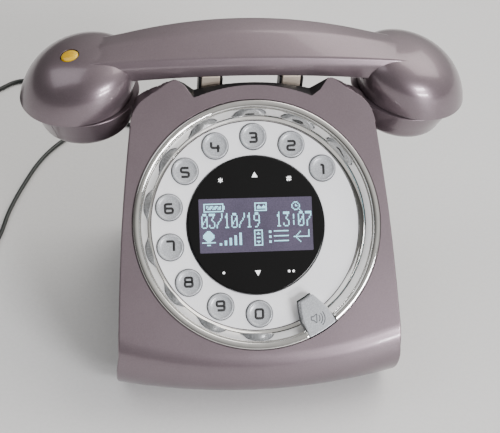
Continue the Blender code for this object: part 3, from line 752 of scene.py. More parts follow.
def build_strokes(tree: bpy.types.NodeTree, given: bpy.types.Node) -> Socket:
    """Turns lines into flat printed strokes with rounded corners.

    Args:
        tree: the node tree.
        given: the tree's input node.

    Returns:
        The socket of what is made.
    """
    lines = add(tree, "GeometryNodeMeshToCurve", {"Mesh": given.outputs["Geometry"]})
    upright = add(tree, "GeometryNodeSetCurveNormal", {"Curve": lines.outputs["Curve"]}, mode="Z_UP")
    curve = upright.outputs["Curve"]
    fillet = add(tree, "GeometryNodeFilletCurve", {"Curve": curve, "Count": 5}, mode="POLY")
    tree.links.new(given.outputs["corner radius"], fillet.inputs["Radius"])
    fillet.inputs["Limit Radius"].default_value = True
    nib = add(tree, "GeometryNodeCurvePrimitiveQuadrilateral", {
        "Width": given.outputs["stroke width"], "Height": given.outputs["stroke height"]}, mode="RECTANGLE")
    swept = add(tree, "GeometryNodeCurveToMesh", {
        "Curve": fillet.outputs["Curve"], "Profile Curve": nib.outputs["Curve"], "Fill Caps": True})
    return swept.outputs["Mesh"]


def build_dots(tree: bpy.types.NodeTree, given: bpy.types.Node) -> Socket:
    """Puts one small tile on every point.

    Args:
        tree: the node tree.
        given: the tree's input node.

    Returns:
        The socket of what is made.
    """
    size = add(tree, "ShaderNodeCombineXYZ", {
        axis: given.outputs[size] for axis, size in zip("XYZ", ("tile width", "tile height", "tile depth"))})
    tile = add(tree, "GeometryNodeMeshCube", {"Size": size.outputs["Vector"]})
    placed = add(tree, "GeometryNodeInstanceOnPoints", {
        "Points": given.outputs["Geometry"], "Instance": tile.outputs["Mesh"]})
    return placed.outputs["Instances"]


def build_pegs(tree: bpy.types.NodeTree, given: bpy.types.Node) -> Socket:
    """Stands one short round peg on every point.

    Args:
        tree: the node tree.
        given: the tree's input node.

    Returns:
        The socket of what is made.
    """
    peg = add(tree, "GeometryNodeMeshCylinder", {
        "Vertices": 20, "Radius": given.outputs["peg radius"], "Depth": given.outputs["peg height"]})
    placed = add(tree, "GeometryNodeInstanceOnPoints", {
        "Points": given.outputs["Geometry"], "Instance": peg.outputs["Mesh"]})
    return placed.outputs["Instances"]


def build_ribs(tree: bpy.types.NodeTree, given: bpy.types.Node) -> Socket:
    """Puts rounded ribs along the line, each square to it.

    Args:
        tree: the node tree.
        given: the tree's input node.

    Returns:
        The socket of what is made.
    """
    line = add(tree, "GeometryNodeMeshToCurve", {"Mesh": given.outputs["Geometry"]})
    spots = add(tree, "GeometryNodeCurveToPoints", {
        "Curve": line.outputs["Curve"], "Length": given.outputs["rib spacing"]}, mode="LENGTH")
    ring = add(tree, "GeometryNodeCurvePrimitiveCircle", {
        "Resolution": 28, "Radius": given.outputs["rib radius"]}, mode="RADIUS")
    thread = add(tree, "GeometryNodeCurvePrimitiveCircle", {
        "Resolution": 10, "Radius": given.outputs["rib thickness"]}, mode="RADIUS")
    rib = add(tree, "GeometryNodeCurveToMesh", {
        "Curve": ring.outputs["Curve"], "Profile Curve": thread.outputs["Curve"]})
    placed = add(tree, "GeometryNodeInstanceOnPoints", {
        "Points": spots.outputs["Points"], "Instance": rib.outputs["Mesh"],
        "Rotation": spots.outputs["Rotation"]})
    return placed.outputs["Instances"]


STROKES = NodeTool("printed_strokes", {"stroke width": 1.05 * MM, "stroke height": 0.06 * MM,
                                       "corner radius": 0.9 * MM}, build_strokes)
TILES = NodeTool("display_tiles", {"tile width": 0.5 * MM, "tile height": 0.5 * MM, "tile depth": 0.04 * MM},
                 build_dots)
PEGS = NodeTool("peg_field", {"peg radius": 0.9 * MM, "peg height": 8.0 * MM}, build_pegs)
RIBS = NodeTool("relief_ribs", {"rib spacing": 1.6 * MM, "rib radius": 2.0 * MM, "rib thickness": 0.4 * MM},
                build_ribs)


def lines(name: str, strokes: Sequence[Outline], closed: Sequence[int] = ()) -> Object:
    """Loose polylines in local XY, in millimetres.

    Args:
        name: the object's name.
        strokes: the polylines.
        closed: which of them join their ends.

    Returns:
        The object.
    """
    bm = bmesh.new()
    for number, stroke in enumerate(strokes):
        verts = [bm.verts.new((x * MM, y * MM, 0.0)) for x, y in stroke]
        for a, b in zip(verts, verts[1:]):
            bm.edges.new((a, b))
        if number in closed:
            bm.edges.new((verts[-1], verts[0]))
    return solid(name, bm, None, tidy=False)


def points(name: str, spots: Sequence[Sequence[float]]) -> Object:
    """Loose points, in metres.

    Args:
        name: the object's name.
        spots: where they stand.

    Returns:
        The object.
    """
    bm = bmesh.new()
    for spot in spots:
        bm.verts.new(spot)
    return solid(name, bm, None, tidy=False)


def shifted(obj: Object, place: Matrix) -> Object:
    """Moves the mesh itself, so that the object stays at the origin."""
    obj.data.transform(place)
    return obj


# --- base housing ---------------------------------------------------------------------------------
@dataclass
class Housing:
    """The hollow wedge: sloped panel, rolled front edge, two horns, cradle ledge and rear leg."""

    roll_radius: float = 19.0 * MM
    roll_growth: float = 4.5 * MM
    half_width: float = 67.0 * MM
    taper: float = 0.30 / 140.0
    taper_start: float = -55.0
    edge: float = 0.9
    stations: int = 44

    def side_section(self, x: float) -> list[Sequence[float]]:
        """The side outline at x: round the front roll, up the panel, down the back and along the floor.

        Args:
            x: distance to the right, in metres.

        Returns:
            Its points, in order.
        """
        radius = self.roll_radius + self.roll_growth * (x / self.half_width) ** 2
        centre_y = FLOOR / math.tan(SLOPE) + radius / math.tan(SLOPE / 2)
        outline = arc(centre_y, FLOOR + radius, radius, 270.0, 90.0 + math.degrees(SLOPE), 34)
        outline += [(RIDGE_BACK, RIDGE_BACK * math.tan(SLOPE)), (RIDGE_BACK, LEDGE_Z), (66.0 * MM, LEDGE_Z)]
        outline.append(REAR_TOP)
        outline += arc(REAR_FOOT - 3 * MM, FLOOR + 3 * MM, 3 * MM, 0.0, -90.0, 8)
        return [(x, y, z) for y, z in outline]

    def width_scale(self, y: float) -> float:
        """The base's width at y, in millimetres, against that at the front."""
        return 1.0 - self.taper * (y - self.taper_start)

    def front_outline(self) -> list[Point]:
        """The front seen square on: flared sides, round shoulders, two horns, two notches and an arch.

        Returns:
            Its points about the dial's centre, in metres.
        """
        flank = [(71.0, -113.0), (70.6, -74.0), (69.6, -60.0), (68.0, -30.0), (65.7, 3.0), (61.0, 45.0)]
        flank += [(59.9, 51.5), (58.2, 55.8), (54.5, 60.6), (46.0, 66.2), (40.0, 70.2)]
        side = [(p.x, p.y) for p in flowing([(*p, 0.0) for p in flank], 5)]
        tip = [(40.0, 70.2, 0), (38.0, 71.5, 1.2), (29.2, 62.1, 1.0), (28.0, 62.5, 0)]
        horn = eased(tip, 5, closed=False)
        crown = [(28.0 * (1 - i / 10.5), 67.9 - 5.4 * (1 - i / 10.5) ** 2) for i in range(1, 21)]
        right = side[:-1] + horn
        whole = right + crown + [(-u, v) for u, v in reversed(right)]
        outline = []
        for u, v in whole:
            reach = max(v, -66.0) * math.cos(SLOPE)
            outline.append((u * MM / self.width_scale(reach), v * MM * math.sin(SLOPE)))
        return outline

    def trim(self) -> Object:
        """The front outline carried back, growing narrower as it goes.

        Returns:
            The solid that the moulding is kept inside.
        """
        outline = self.front_outline()
        sections = []
        for y in (-120.0, 130.0):
            scale = self.width_scale(y)
            sections.append([(x * scale, y * MM, z) for x, z in outline])
        return skin("front_trim", sections, AT_DIAL)

    def tunnel(self) -> Object:
        """The open way through the base from side to side.

        Returns:
            The cutter.
        """
        inner = [(-8.0, -63.8, 5), (76.0, -63.8, 5), (73.0, 12.0, 4), (45.5, 12.0, 4), (-17.0, -44.3, 5)]
        inner += [(-20.5, -54.5, 6)]
        turn = Matrix(((0, 0, 1, 0), (1, 0, 0, 0), (0, 1, 0, 0), (0, 0, 0, 1)))
        outline = [(y * MM, z * MM) for y, z in eased(inner, 6)]
        return prism("tunnel_cut", outline, -90 * MM, 90 * MM, AT_DIAL @ turn)

    def waist(self, side: Side) -> Object:
        """What is cut away beside the cradle, behind the panel.

        Args:
            side: which flank.

        Returns:
            The cutter.
        """
        reach = [(46.0, 70.0), (46.0, 8.0), (63.0, -62.0), (63.0, -85.0), (90.0, -85.0), (90.0, 70.0)]
        outline = [(side.value * x * MM, z * MM) for x, z in reach]
        turn = Matrix.Rotation(math.radians(90.0), 4, "X")
        return prism(f"waist_{side.name}", outline, -130 * MM, 0.3 * MM - RIDGE_BACK, AT_DIAL @ turn)

    def cup_room(self, side: Side) -> Object:
        """The room that a cup needs beside the base."""
        profile = [(0, -20.5), (29.4, -20.5), (29.4, 30), (0, 30)]
        return turned_mm(f"cup_room_{side.name}", profile, 64, cup_matrix(side))

    def openings(self) -> list[Object]:
        """Cutters of the dial's well, the floor recess, the sockets and the finder key.

        Returns:
            The cutters.
        """
        well = [(0, 6), (61.0, 6), (61.0, -3.6), (57.8, -3.6), (57.8, -9.6), (50.2, -9.6), (50.2, -17.2)]
        well.append((0, -17.2))
        found = [turned_mm("dial_well", well, 160, PANEL)]
        floor = FLOOR / MM
        found.append(block("floor_recess", (-44, -12, floor - 5), (44, 68, floor + 8), AT_DIAL))
        for x in (24, -24):
            found.append(block(f"socket_cut_{x}", (x - 7.3, 77.2, -62.3), (x + 7.3, 95, -49.7), AT_DIAL))
        bore = [(0, -6), (5.3, -6), (5.3, 9), (0, 9)]
        found.append(turned_mm("finder_bore", bore, 48, page_key_matrix()))
        return found

    def paint_rim_shade(self, body: Object, flat: Matrix) -> None:
        """Paints the moulding's cut top, between the horns, black: painted shade for the shadow and the dark
        reflection of the handset's underside on these faces.

        Args:
            body: the moulding.
            flat: from the telephone's frame to the panel's.
        """
        body.data.materials.clear()
        body.data.materials.append(LACQUER.material())
        body.data.materials.append(BLACK_ABS.material())
        for face in body.data.polygons:
            at = flat @ face.center
            top = face.normal.z > 0.25 and at.z < -0.05 * MM and at.y > 40 * MM and abs(at.x) < 39.5 * MM
            if top and face.center.y < RIDGE_BACK + DIAL_CENTRE.y + 0.2 * MM:
                # painted shade: these cut top faces take the black
                face.material_index = 1

    def build(self) -> Object:
        """Makes the moulding; its outer edges are rounded after the openings are cut.

        Returns:
            The moulding.
        """
        span = self.half_width * 1.24
        sections = [self.side_section(span * (2 * i / self.stations - 1)) for i in range(self.stations + 1)]
        body = skin("housing_moulding", sections, AT_DIAL)
        waists, rooms = [self.waist(side) for side in Side], [self.cup_room(side) for side in Side]
        boolean(body, self.tunnel(), *waists, *rooms)
        boolean(body, self.trim(), operation="INTERSECT")
        boolean(body, *self.openings())
        boolean(body, speaker_slot("speaker_slot"))
        cleaned(body, within=0.25)
        flat = PANEL.inverted()

        def outer(middle: Vector) -> bool:
            """Whether a point is on the outer edges below the horns, clear of the dial and of the leg."""
            at = flat @ middle
            return math.hypot(at.x, at.y) > 62.5 * MM and at.y < 49 * MM and middle.y < 45 * MM

        self.paint_rim_shade(body, flat)
        rounded_some(body, self.edge, outer)
        rounded_some(body, 0.22, lambda middle: (flat @ middle).y > 49 * MM, segments=2, angle=50.0)
        smooth(body, 32.0)
        return deliver(body, "base", Slot.PAINT, LACQUER, "base_housing")


def capsule_matrix(side: Side) -> Matrix:
    """Frame of one handset end, with local Z along its tilted axis and the origin in the seam."""
    place = Matrix.Translation(HANDLE_CENTRE + Vector((side.value * 85.2 * MM, 0.0, -25.2 * MM)))
    return place @ Matrix.Rotation(side.value * math.radians(6.0), 4, "Y")


def cup_matrix(side: Side) -> Matrix:
    """Frame of one cup, whose centre sits a little inward of its dome's."""
    return capsule_matrix(side) @ Matrix.Translation((-side.value * 3.8 * MM, 0.0, 0.0))


def page_key_matrix() -> Matrix:
    """Frame of the handset-finder key on the rear leg.

    Returns:
        The frame, its Z out of the leg.
    """
    lean = math.atan2(REAR_FOOT - REAR_TOP[0], REAR_TOP[1] - FLOOR)
    z = -12.0 * MM
    y = REAR_TOP[0] + (REAR_TOP[1] - z) * math.tan(lean)
    return AT_DIAL @ Matrix.Translation((0.0, y, z)) @ Matrix.Rotation(math.radians(-90.0) + lean, 4, "X")


def key_matrix(number: int) -> Matrix:
    """Frame of one number key: they run anticlockwise from 1, and 3 stands at the top.

    Args:
        number: the key's digit.

    Returns:
        The frame, its Z out of the plate.
    """
    angle = math.radians(90.0) + KEY_STEP * (KEY_ORDER.index(number) - 2)
    spot = Vector((KEY_CIRCLE * math.cos(angle), KEY_CIRCLE * math.sin(angle), -DIAL_DEPTH))
    return PANEL @ Matrix.Translation(spot)


def speaker_outline(grow: float = 0.0) -> list[Point]:
    """The wedge key that runs out through the ring, in metres.

    Args:
        grow: how much larger than the key, in millimetres, for the slot it stands in.

    Returns:
        The closed outline about the dial's centre.
    """
    outline = arc(0, 0, 43.0 - grow, -53.8, -63.6, 12)
    left = [(19.1, -38.5, 0), (19.4, -42.8, 1.5), (20.3, -47.9, 1.5), (23.25, -55.85, 0)]
    right = [(36.6, -48.2, 0), (34.2, -44.0, 1.5), (31.4, -40.2, 1.0), (25.4, -34.7, 0)]
    outline += eased(left, 4, closed=False)[1:-1]
    outline += arc(0, 0, 60.5 + grow, -67.4, -52.8, 14)
    outline += eased(right, 4, closed=False)[1:-1]
    if grow:
        cx = sum(x for x, _ in outline) / len(outline)
        cy = sum(y for _, y in outline) / len(outline)
        grown = []
        for x, y in outline:
            away = Vector((x - cx, y - cy))
            away.length += grow
            grown.append((cx + away.x, cy + away.y))
        outline = grown
    return [(x * MM, y * MM) for x, y in outline]


def speaker_slot(name: str) -> Object:
    """The slot that the loudspeaker key stands in, cut through the panel, the ring and the plate."""
    return prism(name, speaker_outline(SPEAKER_GAP), -9.4 * MM, 5 * MM, PANEL)


# --- dial -----------------------------------------------------------------------------------------
@dataclass
class Dial:
    """Chrome ring, pearl plate, key caps with their printed digits, and the loudspeaker key."""

    ring_steps: int = 200
    digit_half_width: float = 1.95
    digit_half_height: float = 2.3

    def ring(self) -> Object:
        """The plated ring: a narrow crowned rim, a fine groove and a hollow wall down to the plate.

        Returns:
            The ring.
        """
        rim = [(60.6, -3.3), (60.6, 0.3)]
        rim += [(59.6 + math.cos(math.radians(a)), 0.3 + math.sin(math.radians(a))) for a in (20, 40, 60, 80)]
        rim += [(58.9, 1.32), (58.2, 1.25), (57.7, 1.08), (57.35, 0.8), (57.2, 0.45), (57.1, 0.0)]
        rim += [(56.95, -0.25), (56.75, -0.3), (56.6, -0.12)]
        shares = [k / 14 for k in range(15)]
        wall = [(56.45 - 4.85 * t**1.15, -0.35 - 6.65 * (1 - (1 - t) ** 1.45)) for t in shares]
        under = [(51.6, -8.0), (57.4, -8.0), (57.4, -3.3)]
        ring = turned_mm("plated_ring", rim + wall + under, self.ring_steps, PANEL)
        boolean(ring, speaker_slot("ring_slot"))
        rounded_edges(ring, 0.15, angle=50.0, segments=2)
        smooth(ring, 40.0, weigh=False)
        return deliver(ring, "base", Slot.CHROME, CHROME, "dial_ring")

    def plate(self) -> Object:
        """The recessed plate with a well for every key.

        Returns:
            The plate.
        """
        profile = [(34.3, -7.15), (34.45, -7.0), (51.05, -7.0), (51.2, -7.15), (51.2, -9.0), (34.3, -9.0)]
        plate = turned_mm("pearl_plate", profile, 160, PANEL)
        well = [(0, -4), (6.72, -4), (6.72, -0.32), (6.8, -0.12), (7.0, 0.02), (7.0, 4), (0, 4)]
        for number in KEY_ORDER:
            boolean(plate, turned_mm(f"well_{number}", well, 56, key_matrix(number)))
        boolean(plate, speaker_slot("plate_slot"))
        smooth(plate, 32.0)
        return deliver(plate, "base", Slot.PEARL, PEARL, "dial_plate")

    def key(self, number: int) -> Object:
        """One key cap: a raised rounded rim, a fine step and a shallow dish.

        Args:
            number: the key's digit.

        Returns:
            The cap.
        """
        rim = [(6.4, -2.0), (6.4, 0.55), (6.33, 0.85), (6.12, 1.12), (5.85, 1.22), (5.6, 1.14), (5.42, 0.95)]
        dish = [(5.3, 0.8), (4.6, 0.62), (3.4, 0.5), (1.8, 0.44), (0, 0.42)]
        cap = turned_mm(f"key_{number}_cap", [(0, -2.0)] + rim + dish, 64, key_matrix(number))
        smooth(cap, 40.0)
        return deliver(cap, f"key_{number}_body", Slot.SILVER, SILVER, f"key_{number}")

    def gap_shade_ring(self, number: int) -> Object:
        """A dark ring that fills the gap round a key: painted shade for the shadow in that gap.

        Args:
            number: the key's digit.

        Returns:
            The painted-shade ring.
        """
        # painted shade: a black ring where the gap round the key lies in shadow
        profile = [(6.47, -1.95), (6.47, -0.35), (6.69, -0.35), (6.69, -1.95)]
        gap_shade_ring = turned_mm(f"key_{number}_collar", profile, 56, key_matrix(number))
        return deliver(gap_shade_ring, "base", Slot.RUBBER, RUBBER)

    def digit(self, number: int) -> Object:
        """The printed digit: square strokes with rounded corners.

        Args:
            number: the key's digit.

        Returns:
            The print.
        """
        w, h = self.digit_half_width, self.digit_half_height
        shapes = {
            0: [[(-w, h), (w, h), (w, -h), (-w, -h)]],
            1: [[(-0.9, h), (0.65, h), (0.65, -h - 0.4)]],
            2: [[(-w, h), (w, h), (w, 0.1), (-w, -0.1), (-w, -h), (w + 0.2, -h)]],
            3: [[(-w, h), (w, h), (w - 0.2, 0.1), (w, 0.0), (w, -h), (-w, -h)],
                [(-w + 0.9, 0.0), (w - 0.4, 0.0)]],
            4: [[(-w, h + 0.3), (-w, -0.4), (w + 0.5, -0.4)], [(w - 0.35, h - 1.2), (w - 0.35, -h - 0.4)]],
            5: [[(w, h), (-w, h), (-w, 0.15), (w, -0.05), (w, -h), (-w, -h)]],
            6: [[(w - 0.2, h), (-w, h), (-w, 0.0)], [(-w, 0.1), (w, 0.1), (w, -h), (-w, -h)]],
            7: [[(-w, h), (w, h), (w, -h - 0.4)]],
            8: [[(-w + 0.15, h), (w - 0.15, h), (w - 0.15, 0.05), (-w + 0.15, 0.05)],
                [(-w, 0.05), (w, 0.05), (w, -h), (-w, -h)]],
            9: [[(w, -0.1), (-w, -0.1), (-w, h), (w, h)], [(w, 0.0), (w, -h), (-w + 0.3, -h)]],
        }
        loops = {0: (0,), 6: (1,), 8: (0, 1), 9: (0,)}.get(number, ())
        ink = lines(f"key_{number}_digit", shapes[number], loops)
        STROKES.run(ink, BLACK_INK, stroke_width=1.22 * MM, corner_radius=0.8 * MM)
        lift = {7: 0.7, 8: 0.3, 9: 0.3, 0: 0.0}.get(number, -0.6) * MM
        shifted(ink, key_matrix(number) @ Matrix.Translation((0, lift, 0.53 * MM)) @ Matrix.Scale(0.94, 4))
        return deliver(ink, f"key_{number}_body", Slot.BLACK, BLACK_INK)

    def speaker_key(self) -> None:
        """The loudspeaker key with its printed horn and three waves."""
        key = prism("speaker_key_cap", speaker_outline(), -8.6 * MM, 0.9 * MM, PANEL)
        rounded_edges(key, 0.55, segments=4)
        smooth(key, 40.0)
        deliver(key, "speaker_key_body", Slot.SILVER, SILVER, "speaker_key")
        horn = [(-3.4, 0.9), (-2.2, 0.9), (-0.4, 2.5), (-0.4, -2.5), (-2.2, -0.9), (-3.4, -0.9)]
        waves = [arc(-1.3, 0, 2.6, -38, 38, 8), arc(-1.3, 0, 4.0, -42, 42, 9), arc(-1.3, 0, 5.3, -42, 42, 10)]
        icon = lines("speaker_key_icon", [horn, *waves], (0,))
        STROKES.run(icon, GREY_INK, stroke_width=0.5 * MM, corner_radius=0.2 * MM)
        shifted(icon, PANEL @ Matrix.Translation((27.3 * MM, -46.6 * MM, 0.92 * MM)) @ Matrix.Scale(0.92, 4))
        deliver(icon, "speaker_key_body", Slot.SILVER, GREY_INK)

    def build(self) -> None:
        """Makes the whole dial."""
        self.ring()
        self.plate()
        for number in KEY_ORDER:
            self.key(number)
            self.gap_shade_ring(number)
            self.digit(number)
        self.speaker_key()


@dataclass
class Display:
    """Black window with its printed touch symbols, and the lit dot display in its middle."""

    width: float = 56.0
    height: float = 26.4
    columns: int = 90
    rows: int = 42
    top: float = -5.95

    def glyph(self, mark: str) -> tuple[int, ...]:
        """Seven rows of five dots, the leftmost dot the highest bit.

        Args:
            mark: the digit or sign.

        Returns:
            The rows, from the top.
        """
        marks = {
            "0": (14, 17, 19, 21, 25, 17, 14), "1": (4, 12, 4, 4, 4, 4, 14), "2": (14, 17, 1, 2, 4, 8, 31),
            "3": (31, 2, 4, 2, 1, 17, 14), "4": (2, 6, 10, 18, 31, 2, 2), "5": (31, 16, 30, 1, 1, 17, 14),
            "6": (6, 8, 16, 30, 17, 17, 14), "7": (31, 1, 2, 4, 8, 8, 8), "8": (14, 17, 17, 14, 17, 17, 14),
            "9": (14, 17, 17, 15, 1, 2, 12), "/": (1, 1, 2, 4, 8, 16, 16), ":": (0, 4, 4, 0, 4, 4, 0),
        }
        return marks.get(mark, (0,) * 7)

    def text(self, words: str, column: int, row: int, tall: int = 12) -> set[tuple[int, int]]:
        """Dots of a row of digits, stretched to tall dots high.

        Args:
            words: the digits and signs.
            column: the first column.
            row: the top row.
            tall: height in dots.

        Returns:
            The lit dots, as column and row.
        """
        lit = set()
        for place, mark in enumerate(words):
            rows = self.glyph(mark)
            for r in range(tall):
                bits = rows[r * 7 // tall]
                lit |= {(column + 6 * place + c, row + r) for c in range(5) if bits >> (4 - c) & 1}
        return lit

    def frame_of(self, c0: int, r0: int, c1: int, r1: int) -> set[tuple[int, int]]:
        """Dots of a rectangle's outline."""
        edge = {(c, r) for c in range(c0, c1 + 1) for r in (r0, r1)}
        return edge | {(c, r) for r in range(r0, r1 + 1) for c in (c0, c1)}

    def disc_of(self, column: float, row: float, outer: float, inner: float = -1.0) -> set[tuple[int, int]]:
        """Dots of a disc or a ring."""
        near = [(c, r) for c in range(self.columns) for r in range(self.rows)]
        return {(c, r) for c, r in near if inner < math.hypot(c - column, r - row) <= outer}

    def battery(self) -> set[tuple[int, int]]:
        """Battery sign: outline, cap and three full cells with slanted gaps."""
        lit = self.frame_of(3, 3, 18, 9) | {(19, r) for r in range(5, 8)}
        return lit | {(c, r) for r in range(5, 8) for c in range(5, 17) if (c + r) % 4}

    def icons(self) -> set[tuple[int, int]]:
        """Battery, tape and clock signs on the top line, and plain soft-key signs on the bottom line.

        Returns:
            The lit dots, as column and row.
        """
        lit = self.battery() | self.frame_of(44, 3, 53, 9)
        lit |= self.disc_of(47, 6, 1.2) | self.disc_of(51, 6, 1.2) | {(c, 7) for c in range(46, 53)}
        lit |= self.disc_of(77, 6, 3.6, 2.4) | {(77, 5), (77, 6), (78, 6), (80, 9), (81, 10)}
        bell = self.disc_of(6, 29, 4.2) & {(c, r) for c in range(12) for r in range(24, 34)}
        lit |= bell | {(c, 34) for c in range(1, 12)} | {(6, 36), (5, 36), (7, 36)}
        lit |= {(c, r) for k in range(5) for c in (15 + 4 * k, 16 + 4 * k) for r in range(35 - 2 * k, 37)}
        lit |= self.frame_of(43, 25, 49, 37) | {(46, 27), (46, 35)}
        lit |= {(c, r) for c in (45, 46, 47) for r in (28, 31, 34)}
        for k in range(3):
            row = 26 + 4 * k
            lit |= {(c, r) for c in (55, 56) for r in (row, row + 1)} | {(c, row) for c in range(59, 71)}
        lit |= {(c, 31) for c in range(75, 88)} | {(87, r) for r in range(26, 32)}
        return lit | {(76 + k, 31 + s * k) for k in range(1, 5) for s in (-1, 1)}

    def screen(self) -> None:
        """The lit panel and its dots."""
        outline = pillow(self.width / 2 * MM, self.height / 2 * MM, 0.5 * MM, 4)
        panel = prism("lit_display", outline, (self.top - 0.35) * MM, (self.top - 0.03) * MM, PANEL)
        deliver(smooth(panel, 30.0), "base", Slot.LCD, SCREEN, "display_module")
        lit = self.text("03/10/19", 1, 11) | self.text("13:07", 61, 11) | self.icons()
        pitch_x = (self.width - 1.0) / self.columns
        pitch_y = (self.height - 1.0) / self.rows
        spots = []
        for column, row in sorted(lit):
            x = (column + 0.5 - self.columns / 2) * pitch_x
            y = (self.rows / 2 - row - 0.5) * pitch_y
            spots.append((x * MM, y * MM, (self.top - 0.02) * MM))
        dots = points("display_dots", spots)
        TILES.run(dots, DOTS, tile_width=pitch_x * 0.94 * MM, tile_height=pitch_y * 0.92 * MM)
        deliver(shifted(dots, PANEL), "base", Slot.LCD, DOTS)

    def window(self) -> None:
        """The acrylic disc with a shallow recess for the display."""
        top = self.top
        edge = [(33.95, -7.8), (33.95, top - 0.5), (33.85, top - 0.2), (33.6, top - 0.03), (33.2, top)]
        disc = turned_mm("acrylic_window", [(0, -7.8)] + edge + [(0, top)], 160, PANEL)
        half_x, half_y = self.width / 2 + 0.12, self.height / 2 + 0.12
        boolean(disc, block("display_recess", (-half_x, -half_y, top - 0.4), (half_x, half_y, 0), PANEL))
        deliver(smooth(disc, 30.0), "base", Slot.GLASS, ACRYLIC, "display_glass")

    def symbols(self) -> None:
        """Printed touch fields: two arrowheads, a star, a hash and small dots, joined into one print."""
        bm = bmesh.new()
        for y, tip in ((24.6, 1), (-23.6, -1)):
            low = [(-1.45, y - tip * 1.3), (1.45, y - tip * 1.3), (0.0, y + tip * 1.4)]
            bm.faces.new([bm.verts.new((u * MM, v * MM, 0.0)) for u, v in low])
        for u, v in ((-16.8, -23.0), (15.4, -23.2), (17.6, -23.2)):
            bmesh.ops.create_circle(bm, cap_ends=True, segments=18, radius=0.62 * MM,
                                    matrix=Matrix.Translation((u * MM, v * MM, 0.0)))
        grown = bmesh.ops.extrude_face_region(bm, geom=bm.faces[:])
        top = [v for v in grown["geom"] if isinstance(v, bmesh.types.BMVert)]
        bmesh.ops.translate(bm, verts=top, vec=(0, 0, 0.04 * MM))
        marks = solid("window_symbols", bm, PANEL @ Matrix.Translation((0, 0, self.top * MM)))
        deliver(marks, "base", Slot.GLASS, WHITE_INK)
        star = [[(-16.9 + d * math.cos(a), 22.2 + d * math.sin(a)) for d in (-1.2, 1.2)]
                for a in (math.radians(k * 60 + 30) for k in range(3))]
        cross = []
        for k in (-0.5, 0.5):
            cross += [[(17.0 + k - 0.2, 21.1), (17.0 + k + 0.2, 23.5)], [(15.8, 22.3 + k), (18.2, 22.3 + k)]]
        ink = lines("window_star_and_hash", star + cross)
        STROKES.run(ink, WHITE_INK, stroke_width=0.5 * MM, stroke_height=0.05 * MM, corner_radius=0.01 * MM)
        shifted(ink, PANEL @ Matrix.Translation((0, 0, self.top * MM)))
        deliver(ink, "base", Slot.GLASS, WHITE_INK)

    def build(self) -> None:
        """Makes the window, the display and the prints."""
        self.window()
        self.screen()
        self.symbols()


# --- handset --------------------------------------------------------------------------------------
def underside(x: float) -> float:
    """Height of the grip's slightly arched underside at x, from the grip's centre."""
    return -HANDLE_UNDER - 2.9 * MM * min(1.25, (x / (62.0 * MM)) ** 2)


